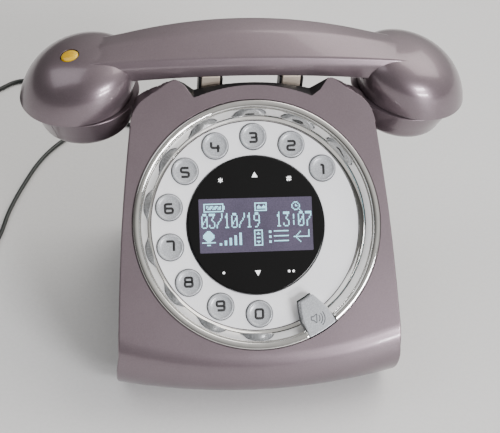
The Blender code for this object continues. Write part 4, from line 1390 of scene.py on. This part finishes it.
@dataclass
class Handset:
    """Faceted grip, two domed ends, two cups with sound caps, and what the grip carries underneath."""

    dome_radius: float = 28.0
    dome_height: float = 24.0
    dome_fullness: float = 2.8
    dome_lean: float = 0.40
    wall: float = 2.3
    cup_depth: float = 18.5
    steps: int = 112

    def grip_section(self, x: float) -> list[Sequence[float]]:
        """The faceted grip at x, its creases softened: its top bows up, its lower edges run straight.

        Args:
            x: distance to the right, in metres.

        Returns:
            The points of the section.
        """
        t = (x / (62.0 * MM)) ** 2
        under = underside(x) / MM
        sink = 2.2 * max(0.0, (abs(x) / MM - 70.0) / 18.0) ** 2
        back_top = 8.5 - 7.1 * t + 1.6 * max(0.0, t - 1.0)
        corners = [(13.5 - 2.5 * t, back_top, 2.2), (2.5 - 0.8 * t, 7.2 - 4.9 * t, 1.6)]
        corners += [(-12.5, 2.1 - 1.7 * t, 1.0), (-14.0, -1.5 - 1.6 * t, 0.7), (-12.8, under, 0.8)]
        corners += [(12.8, under, 1.2), (14.0 - 1.5 * t, -1.5 - 1.6 * t, 1.4)]
        return [(x, y * MM, (z - sink) * MM) for y, z in eased(corners, 4)]

    def dome(self, side: Side, inset: float, rim: float, name: str) -> Object:
        """One leaning dome.

        Args:
            side: which end.
            inset: how far inside the outer surface, in millimetres.
            rim: height of its flat rim.
            name: the object's name.

        Returns:
            The dome, its crown leaning towards the grip.
        """
        radius, height = self.dome_radius - inset, self.dome_height - inset
        outline = [(0, rim), (radius - 0.5, rim), (radius - 0.15, rim + 0.12), (radius, rim + 0.45)]
        blunt = 2.0 / self.dome_fullness
        outline += [(radius * math.cos(a) ** blunt, height * math.sin(a) ** blunt)
                    for a in [math.radians(90.0 * i / 40) for i in range(1, 40)]]
        outline.append((0, height))
        made = turned_mm(name, outline, self.steps)
        bm = bmesh.new()
        bm.from_mesh(made.data)
        for vert in bm.verts:
            if vert.co.z > 0:
                vert.co.x -= side.value * self.dome_lean * vert.co.z
        bm.to_mesh(made.data)
        bm.free()
        return shifted(made, capsule_matrix(side))

    def talk_key_matrix(self) -> Matrix:
        """Frame of the talk key, near the crown of the left dome and square to its surface.

        Returns:
            The frame, its Z out of the dome.
        """
        x, y, power = -9.8, -3.3, self.dome_fullness
        away = math.hypot(x, y)
        z = self.dome_height * (1.0 - (away / self.dome_radius) ** power) ** (1.0 / power)
        rise = away ** (power - 2.0) / self.dome_radius**power
        slope_x, slope_y, slope_z = rise * x, rise * y, z ** (power - 1.0) / self.dome_height**power
        out = Vector((slope_x, slope_y, slope_z - self.dome_lean * slope_x)).normalized()
        spot = (Vector((x + self.dome_lean * z, y, z)) - out * 0.4) * MM
        turn = out.to_track_quat("Z", "Y").to_matrix().to_4x4()
        return capsule_matrix(Side.LEFT) @ Matrix.Translation(spot) @ turn

    def shell(self) -> Object:
        """Grip and domes as one moulding, hollow where the inner parts sit.

        Returns:
            The moulding.
        """
        count = 72
        sections = [self.grip_section(88.0 * MM * (2 * i / count - 1)) for i in range(count + 1)]
        shell = skin("handset_moulding", sections, AT_HANDLE)
        for side in Side:
            boolean(shell, self.dome(side, 0.0, -1.2, f"dome_{side.name}"), operation="UNION")
        for side in Side:
            boolean(shell, self.dome(side, self.wall, -6.0, f"dome_room_{side.name}"))
        rooms = [block("grip_room", (-60, -10, -14), (60, 10, -3), AT_HANDLE)]
        rooms.append(block("battery_room", (-27, -9.6, -5), (27, 9.6, 1.6), AT_HANDLE))
        rooms.append(block("wire_way", (-77, -6, -6.9), (77, 6, -3.2), AT_HANDLE))
        bore = [(0, -5), (4.75, -5), (4.75, 0.1), (5.3, 0.9), (5.3, 6), (0, 6)]
        rooms.append(turned_mm("talk_key_bore", bore, 64, self.talk_key_matrix()))
        boolean(shell, *rooms)
        smooth(shell, 24.0, weigh=False)
        return deliver(shell, "handset", Slot.PAINT, LACQUER, "handset_shell")

    def talk_key(self) -> Object:
        """The glossy amber key, a low round pill.

        Returns:
            The pill.
        """
        profile = [(0, -3.4), (4.4, -3.4), (4.4, -0.5), (4.3, -0.15), (4.0, 0.2), (3.4, 0.55), (2.4, 0.82)]
        profile += [(1.2, 0.96), (0, 1.0)]
        pill = turned_mm("talk_key_pill", profile, 64, self.talk_key_matrix())
        return deliver(smooth(pill, 60.0), "talk_key_body", Slot.AMBER, AMBER, "talk_key")

    def cup(self, side: Side) -> None:
        """One cup with its dark sound cap; a real parting line runs down the ear cup.

        Args:
            side: which end of the handset.
        """
        top, foot, deep = 27.4, 23.4, -self.cup_depth
        outer = [(21.4, -0.4), (21.4, -1.6), (top - 0.5, -1.6), (top - 0.12, -1.75), (top, -2.1)]
        for i in range(1, 9):
            t = i / 8
            outer.append((top - 0.1 - (top - foot - 0.7) * t**1.15, -2.1 + (deep + 6.6 + 2.1) * t))
        outer += [(foot - 0.1, deep + 4.2), (foot - 0.9, deep + 2.4), (foot - 2.2, deep + 1.0)]
        outer += [(foot - 3.4, deep + 0.3), (19.0, deep), (18.4, deep + 0.3), (18.4, deep + 2.2)]
        outer += [(foot - 3.2, deep + 3.0), (20.6, deep + 6), (19.9, -0.4)]
        here = cup_matrix(side)
        cup = turned_mm(f"cup_{side.name.lower()}_moulding", outer, 128, here)
        if side is Side.LEFT:
            upright = here @ Matrix.Rotation(math.radians(232.0), 4, "Z")
            leaning = upright @ Matrix.Rotation(math.radians(-3.0), 4, "X")
            line = block("parting_line", (22.6, -0.16, -20), (30, 0.16, -1.0), leaning)
            boolean(cup, line, block("parting_top", (24.0, -0.16, -3), (30, 0.16, 0), upright))
        deliver(smooth(cup, 34.0), "handset", Slot.PAINT, LACQUER, f"cup_{side.name.lower()}")
        name = "ear_cap" if side is Side.LEFT else "mouth_cap"
        disc = [(0, deep + 0.75), (6, deep + 0.7), (12, deep + 0.5), (16.5, deep + 0.3), (17.8, deep + 0.35)]
        disc += [(18.1, deep + 0.6), (18.1, deep + 2.0), (0, deep + 2.0)]
        cap = turned_mm(f"{name}_grille", disc, 96, here)
        spots = [(0.0, 0.0, 0.0)]
        for ring, count in ((3.4 * MM, 6), (6.8 * MM, 12)):
            turns = [math.tau * k / count for k in range(count)]
            spots += [(ring * math.cos(a), ring * math.sin(a), 0.0) for a in turns]
        pegs = PEGS.run(points(f"{name}_pegs", spots), BLACK_ABS, peg_radius=0.75 * MM)
        boolean(cap, shifted(pegs, here @ Matrix.Translation((0, 0, deep * MM))))
        deliver(smooth(cap, 34.0), "handset", Slot.BLACK, BLACK_ABS, name)

    def underside_parts(self) -> None:
        """Grip cover, battery door, charging pads and the two small keys of the underside."""
        rows = []
        for i in range(25):
            x = 59.7 * MM * (i / 12 - 1)
            low = underside(x)
            corners = [(-9.7 * MM, low, 0.5 * MM), (9.7 * MM, low, 0.5 * MM), (9.7 * MM, low + 1.8 * MM, 0),
                       (-9.7 * MM, low + 1.8 * MM, 0)]
            rows.append([(x, y, z) for y, z in eased(corners, 3)])
        cover = skin("grip_cover_moulding", rows, AT_HANDLE)
        floor = -HANDLE_UNDER / MM
        cuts = [block("door_cut", (-13.5, -8, floor - 5), (13.5, 8, floor + 5), AT_HANDLE)]
        for x in (-20, 20):
            low, high = (x - 4.3, -5.3, floor - 3), (x + 4.3, 5.3, floor + 5)
            cuts.append(block(f"pad_cut_{x}", low, high, AT_HANDLE))
        gap, half_y, reach = 0.3, 2.5, 2.4 * MM
        for name, x, half_x in (("volume_key", 36, 5.0), ("mute_key", 50, 3.0)):
            here = AT_HANDLE @ Matrix.Translation((x * MM, 0, underside(x * MM)))
            hole = pillow((half_x + gap) * MM, (half_y + gap) * MM, reach, 6)
            cuts.append(prism(f"{name}_cut", hole, -4 * MM, 6 * MM, here))
            pad = prism(f"{name}_pad", pillow(half_x * MM, half_y * MM, reach, 8), -0.6 * MM, 2.0 * MM, here)
            rounded_edges(pad, 0.3)
            deliver(smooth(pad, 40.0), f"{name}_body", Slot.SILVER, SILVER, name)
        boolean(cover, *cuts)
        deliver(smooth(cover, 30.0), "handset", Slot.PAINT, LACQUER, "grip_cover")
        door = block("battery_door_leaf", (-13.2, -7.7, floor), (13.2, 7.7, floor + 1.5), AT_HANDLE)
        grooves = [block(f"grip_line_{k}", (x, -4.5, floor - 1), (x + 0.5, 4.5, floor + 0.35), AT_HANDLE)
                   for k, x in enumerate(8.2 + 1.1 * k for k in range(4))]
        boolean(rounded_edges(door, 0.25), *grooves)
        deliver(smooth(door, 30.0), "battery_door_body", Slot.BLACK, BLACK_ABS, "battery_door")
        for side, x in (("left", -20), ("right", 20)):
            pad = block(f"pad_{side}_plate", (x - 4, -5, floor + 0.2), (x + 4, 5, floor + 1.6), AT_HANDLE)
            smooth(rounded_edges(pad, 0.3), 30.0)
            deliver(pad, "handset", Slot.COPPER, COPPER, f"charge_pad_{side}")

    def build(self) -> None:
        """Makes the whole handset."""
        self.shell()
        self.talk_key()
        for side in Side:
            self.cup(side)
        self.underside_parts()


# --- fittings of the base -------------------------------------------------------------------------
@dataclass
class Fittings:
    """Charging posts, feet, floor plate and screws, sockets and the finder key."""

    def post(self, side: str, x: float) -> None:
        """One charging post: a black frame round a sprung contact blade.

        Args:
            side: left or right, for its name.
            x: distance from the dial's centre, in millimetres.
        """
        top = (HANDLE_CENTRE.z - DIAL_CENTRE.z - HANDLE_UNDER) / MM - 0.5
        here = AT_DIAL @ Matrix.Translation((x * MM, 57.6 * MM, 0))
        post = block(f"post_{side}_frame", (-5.9, -3.4, LEDGE_Z / MM + 0.3), (5.9, 3.4, top - 1.2), here)
        boolean(post, block(f"post_{side}_cut", (-4.9, -3.5, top - 11.3), (4.9, 1.6, top), here))
        deliver(smooth(rounded_edges(post, 0.25), 30.0), "base", Slot.BLACK, BLACK_ABS, f"charge_post_{side}")
        blade = block(f"contact_{side}_blade", (-4.6, -3.2, top - 10.2), (4.6, 1.3, top - 0.3), here)
        rounded_edges(blade, 0.6, segments=4)
        smooth(blade, 35.0)
        deliver(blade, f"charge_contact_{side}_body", Slot.COPPER, COPPER, f"charge_contact_{side}")

    def floor_parts(self) -> None:
        """Floor plate with two screws, and four rubber feet."""
        floor = FLOOR / MM
        here = AT_DIAL @ Matrix.Translation((0, 28 * MM, FLOOR))
        outline = pillow(43.7 * MM, 39.7 * MM, 1.0 * MM, 5)
        plate = prism("floor_plate_cover", outline, 0.1 * MM, 2.1 * MM, here)
        spots = [(-38, 34), (38, -34)]
        for k, (x, y) in enumerate(spots):
            boolean(plate, turned_mm(f"screw_hole_{k}", [(0, -3), (2.2, -3), (2.2, 4), (0, 4)], 40,
                                     here @ Matrix.Translation((x * MM, y * MM, 0))))
        for k, x in enumerate(range(-20, 21, 5)):
            boolean(plate, block(f"vent_{k}", (x - 0.7, -12, -0.2), (x + 0.7, 12, 0.9), here))
        smooth(rounded_edges(plate, 0.15, angle=50.0, segments=2), 30.0)
        deliver(plate, "base", Slot.BLACK, BLACK_ABS, "floor_plate")
        for k, (x, y) in enumerate(spots, 1):
            profile = [(0, 0.3), (1.3, 0.3), (1.75, 0.5), (1.9, 0.8), (1.9, 1.4), (1.3, 2.05), (0, 2.05)]
            at = here @ Matrix.Translation((x * MM, y * MM, 0))
            screw = turned_mm(f"screw_{k}_head", profile, 48, at)
            for turn in (0.0, 90.0):
                spin = at @ Matrix.Rotation(math.radians(turn + 20.0 * k), 4, "Z")
                boolean(screw, block(f"drive_{turn:.0f}", (-1.15, -0.22, -1), (1.15, 0.22, 0.95), spin))
            deliver(smooth(screw, 34.0), "base", Slot.STEEL, STEEL, f"floor_screw_{k}")
        for k, (x, y) in enumerate(((-46, -21), (46, -21), (-43, 76), (43, 76)), 1):
            profile = [(0, -1.5), (4.3, -1.5), (4.75, -1.35), (5, -1.0), (5, -0.05), (0, -0.05)]
            at = AT_DIAL @ Matrix.Translation((x * MM, y * MM, floor * MM))
            foot = turned_mm(f"foot_{k}_pad", profile, 56, at)
            deliver(smooth(foot, 50.0), "base", Slot.RUBBER, RUBBER, f"foot_{k}")

    def sockets(self) -> None:
        """The two sockets and the finder key of the rear leg."""
        for name, x, half in (("mains", 24, 2.9), ("line", -24, 3.9)):
            jack = block(f"{name}_socket_shell", (x - 7, 77.5, -62), (x + 7, 85.2, -50), AT_DIAL)
            hole = block(f"{name}_hole", (x - half, 79, -58.9), (x + half, 95, -53.1), AT_DIAL)
            boolean(jack, hole)
            deliver(smooth(rounded_edges(jack, 0.3), 30.0), "base", Slot.BLACK, BLACK_ABS, f"{name}_socket")
        profile = [(0, -4.8), (5, -4.8), (5, 0.4), (4.85, 0.8), (4.5, 1.05), (3.6, 1.0), (1.8, 0.8)]
        profile.append((0, 0.75))
        key = turned_mm("finder_key_cap", profile, 64, page_key_matrix())
        deliver(smooth(key, 50.0), "page_key_body", Slot.BLACK, BLACK_ABS, "page_key")
        icon = lines("finder_key_icon", [[(-2.2, 0.6), (-2.2, 1.3), (2.2, 1.3), (2.2, 0.6)]])
        STROKES.run(icon, WHITE_INK, stroke_width=0.5 * MM, corner_radius=0.5 * MM)
        lift = Matrix.Translation((0, 0, 0.86 * MM))
        shifted(icon, page_key_matrix() @ Matrix.Rotation(math.pi, 4, "Z") @ lift)
        deliver(icon, "page_key_body", Slot.BLACK, WHITE_INK)

    def build(self) -> None:
        """Makes all the fittings and dresses the inner parts that keep their CAD shape."""
        for side, x in (("left", -20.0), ("right", 20.0)):
            self.post(side, x)
        self.floor_parts()
        self.sockets()
        kept = {
            "main_board": BOARD, "handset_board": BOARD, "key_membrane": SILICONE, "battery_pack": CELL_WRAP,
            "ringer_speaker": BLACK_ABS, "ballast_plate": STEEL, "earpiece": STEEL, "microphone": STEEL,
        }
        for node, finish in kept.items():
            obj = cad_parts[node]
            obj.data.materials.clear()
            obj.data.materials.append(finish.material())


# --- cords ----------------------------------------------------------------------------------------
@dataclass
class Lead:
    """A round lead: straight out of its plug, over the table, and the spare length wound into a coil."""

    name: str
    diameter: float
    route: list[tuple[float, float, float]]
    coil_centre: Point
    coil_across: float
    coil_section: float
    join_angle: float
    tail: list[tuple[float, float, float]]
    layers: int = 4

    def coil_points(self) -> list[Vector]:
        """The turns, laid clockwise, layer on layer: outside in, then inside out, and so on.

        Returns:
            Its points in millimetres.
        """
        d = self.diameter
        pitch = d * 1.015
        inner = self.coil_across / 2 - (self.coil_section - d) / 2
        span = self.coil_section - d
        turns = span / pitch
        per_turn = 30
        steps = round(turns * per_turn)
        lead_in = 0.3 / turns
        found = []
        for k in range(self.layers * steps + 1):
            layer = min(self.layers - 1, k // steps)
            part = (k - layer * steps) / steps
            radius = inner + span * ((1 - part) if layer % 2 == 0 else part)
            climb = 0.0
            if part > 1 - lead_in and layer < self.layers - 1:
                climb = 0.5 * ((part - (1 - lead_in)) / lead_in) ** 2
            elif part < lead_in and layer > 0:
                climb = -0.5 * ((lead_in - part) / lead_in) ** 2
            angle = math.radians(self.join_angle) - math.tau * k / per_turn
            z = d / 2 + (layer + climb) * d
            found.append(Vector((self.coil_centre[0] + radius * math.cos(angle),
                                 self.coil_centre[1] + radius * math.sin(angle), z)))
        return found

    def path(self) -> list[Vector]:
        """The whole centreline, in metres.

        Returns:
            Its points.
        """
        coil = self.coil_points()
        ahead = [tuple(coil[k]) for k in (0, 4, 8)]
        way_in = flowing(self.route + ahead, 10)
        kept = way_in[: 10 * len(self.route) + 1]
        way_out = flowing([tuple(coil[-9]), tuple(coil[-5]), tuple(coil[-1])] + self.tail, 10)[21:]
        return [p * MM for p in kept + coil[1:] + way_out]

    def curve(self) -> tuple[Object, float]:
        """The lead as a curve object, and its length in metres.

        Returns:
            The curve object and the length.
        """
        path = self.path()
        data = bpy.data.curves.new(self.name, "CURVE")
        data.dimensions = "3D"
        data.bevel_depth = self.diameter / 2 * MM
        data.bevel_resolution = 3
        data.use_fill_caps = True
        spline = data.splines.new("POLY")
        spline.points.add(len(path) - 1)
        for point, at in zip(spline.points, path):
            point.co = (*at, 1.0)
        spline.use_smooth = True
        data.materials.append(JACKET.material())
        obj = bpy.data.objects.new(self.name, data)
        bpy.context.scene.collection.objects.link(obj)
        return obj, sum((b - a).length for a, b in zip(path, path[1:]))

    def tie(self, angle: float) -> Object:
        """The soft wire tie that holds the coil together.

        Args:
            angle: where it sits on the coil, in degrees.

        Returns:
            The tie.
        """
        here = Matrix.Translation((self.coil_centre[0] * MM, self.coil_centre[1] * MM, 0))
        here = here @ Matrix.Rotation(math.radians(angle), 4, "Z")
        mid, half = self.coil_across / 2, self.coil_section / 2

        def loop(beside: float, above: float, under: float, reach: float) -> list[Point]:
            """The band's outline round the coil's section, standing off it by these distances.

            Args:
                beside: to the left and right.
                above: over it.
                under: from the table.
                reach: how far its corners' curves begin.

            Returns:
                The outline.
            """
            left, right, high = mid - half - beside, mid + half + beside, 2 * half + above
            corners = [(right, high), (left, high), (left, under), (right, under)]
            return eased([(*corner, reach) for corner in corners], 6)

        outer, inner = loop(0.55, 0.6, 0.06, 2.6), loop(0.1, 0.15, 0.5, 2.4)
        bm = bmesh.new()
        rings = []
        for y in (-1.7 * MM, 1.7 * MM):
            rings.append([[bm.verts.new((x * MM, y, z * MM)) for x, z in ring] for ring in (outer, inner)])
        count = len(outer)
        for i in range(count):
            j = (i + 1) % count
            for a, b in ((rings[0][0], rings[1][0]), (rings[1][0], rings[1][1]), (rings[1][1], rings[0][1]),
                         (rings[0][1], rings[0][0])):
                bm.faces.new((a[i], a[j], b[j], b[i]))
        band = solid(f"{self.name}_tie", bm, here)
        return deliver(smooth(band, 40.0), "base", Slot.RUBBER, RUBBER)


@dataclass
class Cords:
    """The mains-adapter lead and the telephone line lead, both leaving the back of the base."""

    def back(self, route: Sequence[Sequence[float]]) -> list[tuple[float, float, float]]:
        """A route whose Y is measured behind the dial's centre, in the telephone's frame."""
        return [(x, DIAL_CENTRE.y / MM + y, z) for x, y, z in route]

    def plug_frame(self, x: float) -> Matrix:
        """A plug's frame with its nose in the socket and its tail pointing back."""
        here = AT_DIAL @ Matrix.Translation((x * MM, 79.4 * MM, -56 * MM))
        return here @ Matrix.Rotation(math.radians(-90.0), 4, "X")

    def mains(self) -> None:
        """Barrel plug with a ribbed sleeve, the lead, and the plug-in adapter at its far end."""
        top = DIAL_CENTRE.z / MM
        h = MAINS_CORD / MM / 2
        route = [(24, 98.9, top - 56.0), (24, 105.7, 18.5), (21, 117.7, 10.0), (14, 133.7, h + 1.0)]
        route += [(2, 150.7, h), (-20, 168.7, h), (-48, 186.7, h), (-75, 204.7, h), (-100, 218.7, h)]
        route += [(-120.5, 220.7, h), (-132.5, 212.7, h), (-144, 202.7, h)]
        tail = [(-176.0, 205.0, 9.0), (-185.5, 202.0, 7.5), (-191.0, 196.0, 7.0)]
        lead = Lead("mains_lead", 2.6, self.back(route), (-167.5, 178.3), 30.0, 10.8, -30.0, tail)
        here = self.plug_frame(24.0)
        barrel = [(0, 0), (2.6, 0), (2.7, 0.15), (2.7, 6), (3.9, 6.1), (4.2, 6.5), (4.2, 13.4), (3.9, 14.1)]
        barrel += [(3.0, 14.6), (2.5, 16.5), (2.1, 18.4), (1.6, 18.6), (0, 18.6)]
        plug = turned_mm("mains_plug_body", barrel, 64, here)
        deliver(smooth(plug, 40.0), "base", Slot.BLACK, BLACK_ABS, "mains_plug")
        line = lines("mains_plug_ribs", [[(0, 0), (0, 5.0)]])
        RIBS.run(line, BLACK_ABS, rib_spacing=1.2 * MM, rib_radius=3.95 * MM, rib_thickness=0.33 * MM)
        along = Matrix.Translation((0, 0, 7.6 * MM)) @ Matrix.Rotation(math.pi / 2, 4, "X")
        ribs = shifted(line, here @ along)
        deliver(smooth(ribs, 60.0, weigh=False), "base", Slot.BLACK, BLACK_ABS)
        cord, length = lead.curve()
        deliver(cord, "base", Slot.CORD, JACKET, "mains_cord", "mains_coil")
        tie = lead.tie(70.0)
        adapter = self.adapter()
        LOG.info("mains lead: %.3f m", length)

    def adapter(self) -> list[Object]:
        """The plug-in mains adapter lying on its back, with two round pins and a cord gland.

        Returns:
            The case and the pins.
        """
        here = Matrix.Translation((-213 * MM, 172.8 * MM, 0))
        half_x, half_y, reach = 21 * MM, 30 * MM, 6 * MM
        body = prism("adapter_case", pillow(half_x, half_y, reach, 8), 0.05 * MM, 26 * MM, here)
        rounded_edges(body, 1.6, segments=5)
        seam = prism("seam_cut", pillow(half_x * 1.1, half_y * 1.1, reach, 8), 12.8 * MM, 13.2 * MM, here)
        core = pillow(half_x * 0.975, half_y * 0.982, reach, 8)
        boolean(seam, prism("seam_core", core, 12 * MM, 14 * MM, here))
        boolean(body, seam)
        deliver(smooth(body, 35.0), "base", Slot.BLACK, BLACK_ABS, "mains_adapter")
        spots = [(-9.5 * MM, 0.0, 0.0), (9.5 * MM, 0.0, 0.0)]
        pins = PEGS.run(points("adapter_pin_pair", spots), STEEL, peg_radius=2.15 * MM, peg_height=18.9 * MM)
        shifted(pins, here @ Matrix.Translation((0, 0, 35.4 * MM)))
        deliver(smooth(rounded_edges(pins, 0.6), 40.0), "base", Slot.STEEL, STEEL)
        return [body, pins]

    def line(self) -> None:
        """Snap-in line plug, the lead, and the wall plug at its far end."""
        top = DIAL_CENTRE.z / MM
        h = LINE_CORD / MM / 2
        route = [(-24, 98.9, top - 56.0), (-24, 105.7, 18.5), (-26, 117.7, 10.0), (-30, 133.7, h + 1.0)]
        route += [(-36, 152.7, h), (-46, 169.7, h), (-62, 177.2, h), (-80, 171.2, h), (-94.7, 158.7, h)]
        route += [(-106.5, 142.5, h), (-115.7, 122.5, h), (-124.4, 98.1, h), (-129.5, 77.3, h)]
        route += [(-136, 60.7, h), (-146, 47.7, h)]
        tail = [(-176.0, 32.0, 8.0), (-186.0, 27.5, 4.6), (-190.5, 21.5, 3.3), (-191.9, 17.0, 3.1)]
        lead = Lead("line_lead", 2.4, self.back(route), (-165.0, 15.8), 28.0, 9.6, -7.3, tail)
        here = self.plug_frame(-24.0)
        plug = block("line_plug_body", (-3.3, -2.6, 0), (3.3, 2.6, 13), here)
        sleeve = [(0, 12), (2.2, 12), (2.1, 18.2), (1.7, 18.6), (0, 18.6)]
        tail_piece = turned_mm("line_plug_tail", sleeve, 40, here)
        latch = block("line_plug_latch", (-1.6, -3.5, 4.5), (1.6, -2.4, 12.5), here)
        boolean(plug, tail_piece, latch, operation="UNION")
        deliver(smooth(rounded_edges(plug, 0.2), 34.0), "base", Slot.CLEAR, CLEAR_PLUG, "line_plug")
        wall = block("wall_plug_body", (-198, 10.8, 0.05), (-186, 17.4, 6))
        slots = enumerate(-196.5 + 1.5 * k for k in range(7))
        boolean(wall, *[block(f"wall_slot_{k}", (x, 10, 3.2), (x + 0.6, 13, 6.5)) for k, x in slots])
        deliver(smooth(rounded_edges(wall, 0.25), 34.0), "base", Slot.CLEAR, CLEAR_PLUG, "wall_line_plug")
        cord, length = lead.curve()
        deliver(cord, "base", Slot.CORD, JACKET, "line_cord", "line_coil")
        tie = lead.tie(70.0)
        LOG.info("line lead: %.3f m", length)

    def build(self) -> None:
        """Makes both leads."""
        self.mains()
        self.line()


# --- studio ---------------------------------------------------------------------------------------
@dataclass
class Studio:
    """Pale table, two window panes at the front right, weaker light from above and left, and the camera."""

    camera_place: tuple[float, float, float] = (-87.19, -453.98, 484.94)
    camera_turn: tuple[float, float, float] = (47.404, -4.194, -7.011)
    lens: float = 89.28
    # Axis, the stretch of it over which the room's light changes, and its strength at both ends.
    room_light: tuple[tuple, ...] = (
        ("Z", 0.0, 0.7, 0.3, 0.85), ("Y", -0.75, 0.35, 0.6, 1.0), ("X", -0.3, 0.3, 0.4, 1.75))

    def camera(self) -> None:
        """The camera, looking down at the panel almost square on."""
        data = bpy.data.cameras.new("camera")
        data.lens = self.lens
        data.sensor_width = 36.0
        data.clip_start = 0.01
        obj = bpy.data.objects.new("camera", data)
        obj.location = [v * MM for v in self.camera_place]
        obj.rotation_euler = [math.radians(v) for v in self.camera_turn]
        bpy.context.scene.collection.objects.link(obj)
        bpy.context.scene.camera = obj

    def lamp(self, name: str, place: Sequence[float], size: Point, power: float, colour: str) -> None:
        """A soft rectangular light aimed at the telephone.

        Args:
            name: the object's name.
            place: its centre, in metres.
            size: its sides, in metres.
            power: watts.
            colour: sRGB hex.
        """
        data = bpy.data.lights.new(name, "AREA")
        data.shape = "RECTANGLE"
        data.size, data.size_y = size
        data.energy = power
        data.color = linear(colour)[:3]
        obj = bpy.data.objects.new(name, data)
        obj.location = place
        aim = Vector((0.0, 0.0, 0.07)) - Vector(place)
        obj.rotation_euler = aim.to_track_quat("-Z", "Y").to_euler()
        bpy.context.scene.collection.objects.link(obj)

    def world(self) -> None:
        """A plain room: darker towards the floor, the viewer's side and the left, brighter to the right."""
        world = bpy.data.worlds.new("room")
        bpy.context.scene.world = world
        world.use_nodes = True
        tree = world.node_tree
        tree.nodes.clear()
        place = add(tree, "ShaderNodeTexCoord").outputs["Generated"]
        axes = add(tree, "ShaderNodeSeparateXYZ", {"Vector": place})
        shares = [add(tree, "ShaderNodeMapRange", {
            "Value": axes.outputs[axis], "From Min": start, "From Max": end, "To Min": dim, "To Max": bright,
        }).outputs["Result"] for axis, start, end, dim, bright in self.room_light]
        flank = add(tree, "ShaderNodeMath", {0: shares[1], 1: shares[2]}, operation="MULTIPLY").outputs[0]
        both = add(tree, "ShaderNodeMath", {0: shares[0], 1: flank}, operation="MULTIPLY").outputs[0]
        sky = add(tree, "ShaderNodeBackground", {"Color": linear("f3f1ee"), "Strength": both})
        add(tree, "ShaderNodeOutputWorld", {"Surface": sky.outputs["Background"]})

    def table(self) -> None:
        """The pale table top."""
        bm = bmesh.new()
        just_under = Matrix.Translation((0, 0, -0.2 * MM))
        bmesh.ops.create_grid(bm, x_segments=1, y_segments=1, size=3.0, matrix=just_under)
        top = solid("table_top", bm, None, tidy=False)
        top.data.materials.append(TABLE_TOP.material())
        top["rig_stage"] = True

    def build(self) -> None:
        """Makes the stage, the lights and the camera."""
        self.camera()
        self.world()
        self.table()
        self.lamp("window_upper", (1.05, -1.6, 1.05), (0.7, 0.32), 30.0, "fdfcff")
        self.lamp("window_lower", (1.05, -1.65, 0.45), (0.7, 0.16), 22.0, "fdfcff")
        self.lamp("ceiling_bounce", (1.3, 0.8, 1.8), (1.9, 1.5), 26.0, "fffaf4")
        self.lamp("left_fill", (-1.1, 0.3, 1.5), (1.3, 1.3), 8.0, "fbfcff")


def report_fit(margin_mm: float = 1.0) -> None:
    """Logs each finished piece whose box stands proud of the CAD nodes that it replaces.

    Args:
        margin_mm: how far it may stand proud unreported.
    """
    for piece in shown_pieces():
        nodes = list(piece.get("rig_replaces", []))
        if not nodes or piece.type != "MESH":
            continue
        lows, highs = zip(*[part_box(node) for node in nodes])
        own = [Vector(corner) for corner in piece.bound_box]
        for axis in range(3):
            low = min(v[axis] for v in lows) - min(v[axis] for v in own)
            high = max(v[axis] for v in own) - max(v[axis] for v in highs)
            if max(low, high) > margin_mm * MM:
                LOG.warning("%s stands %.1f mm proud on axis %d", piece.name, max(low, high) / MM, axis)


def main() -> None:
    """Builds the studio, then the telephone from the table up."""
    logging.basicConfig(level=logging.INFO, format="%(message)s", stream=sys.stdout)
    Studio().build()
    Cords().build()
    Housing().build()
    Dial().build()
    Display().build()
    Fittings().build()
    Handset().build()
    report_fit()


if __name__ == "__main__":
    main()
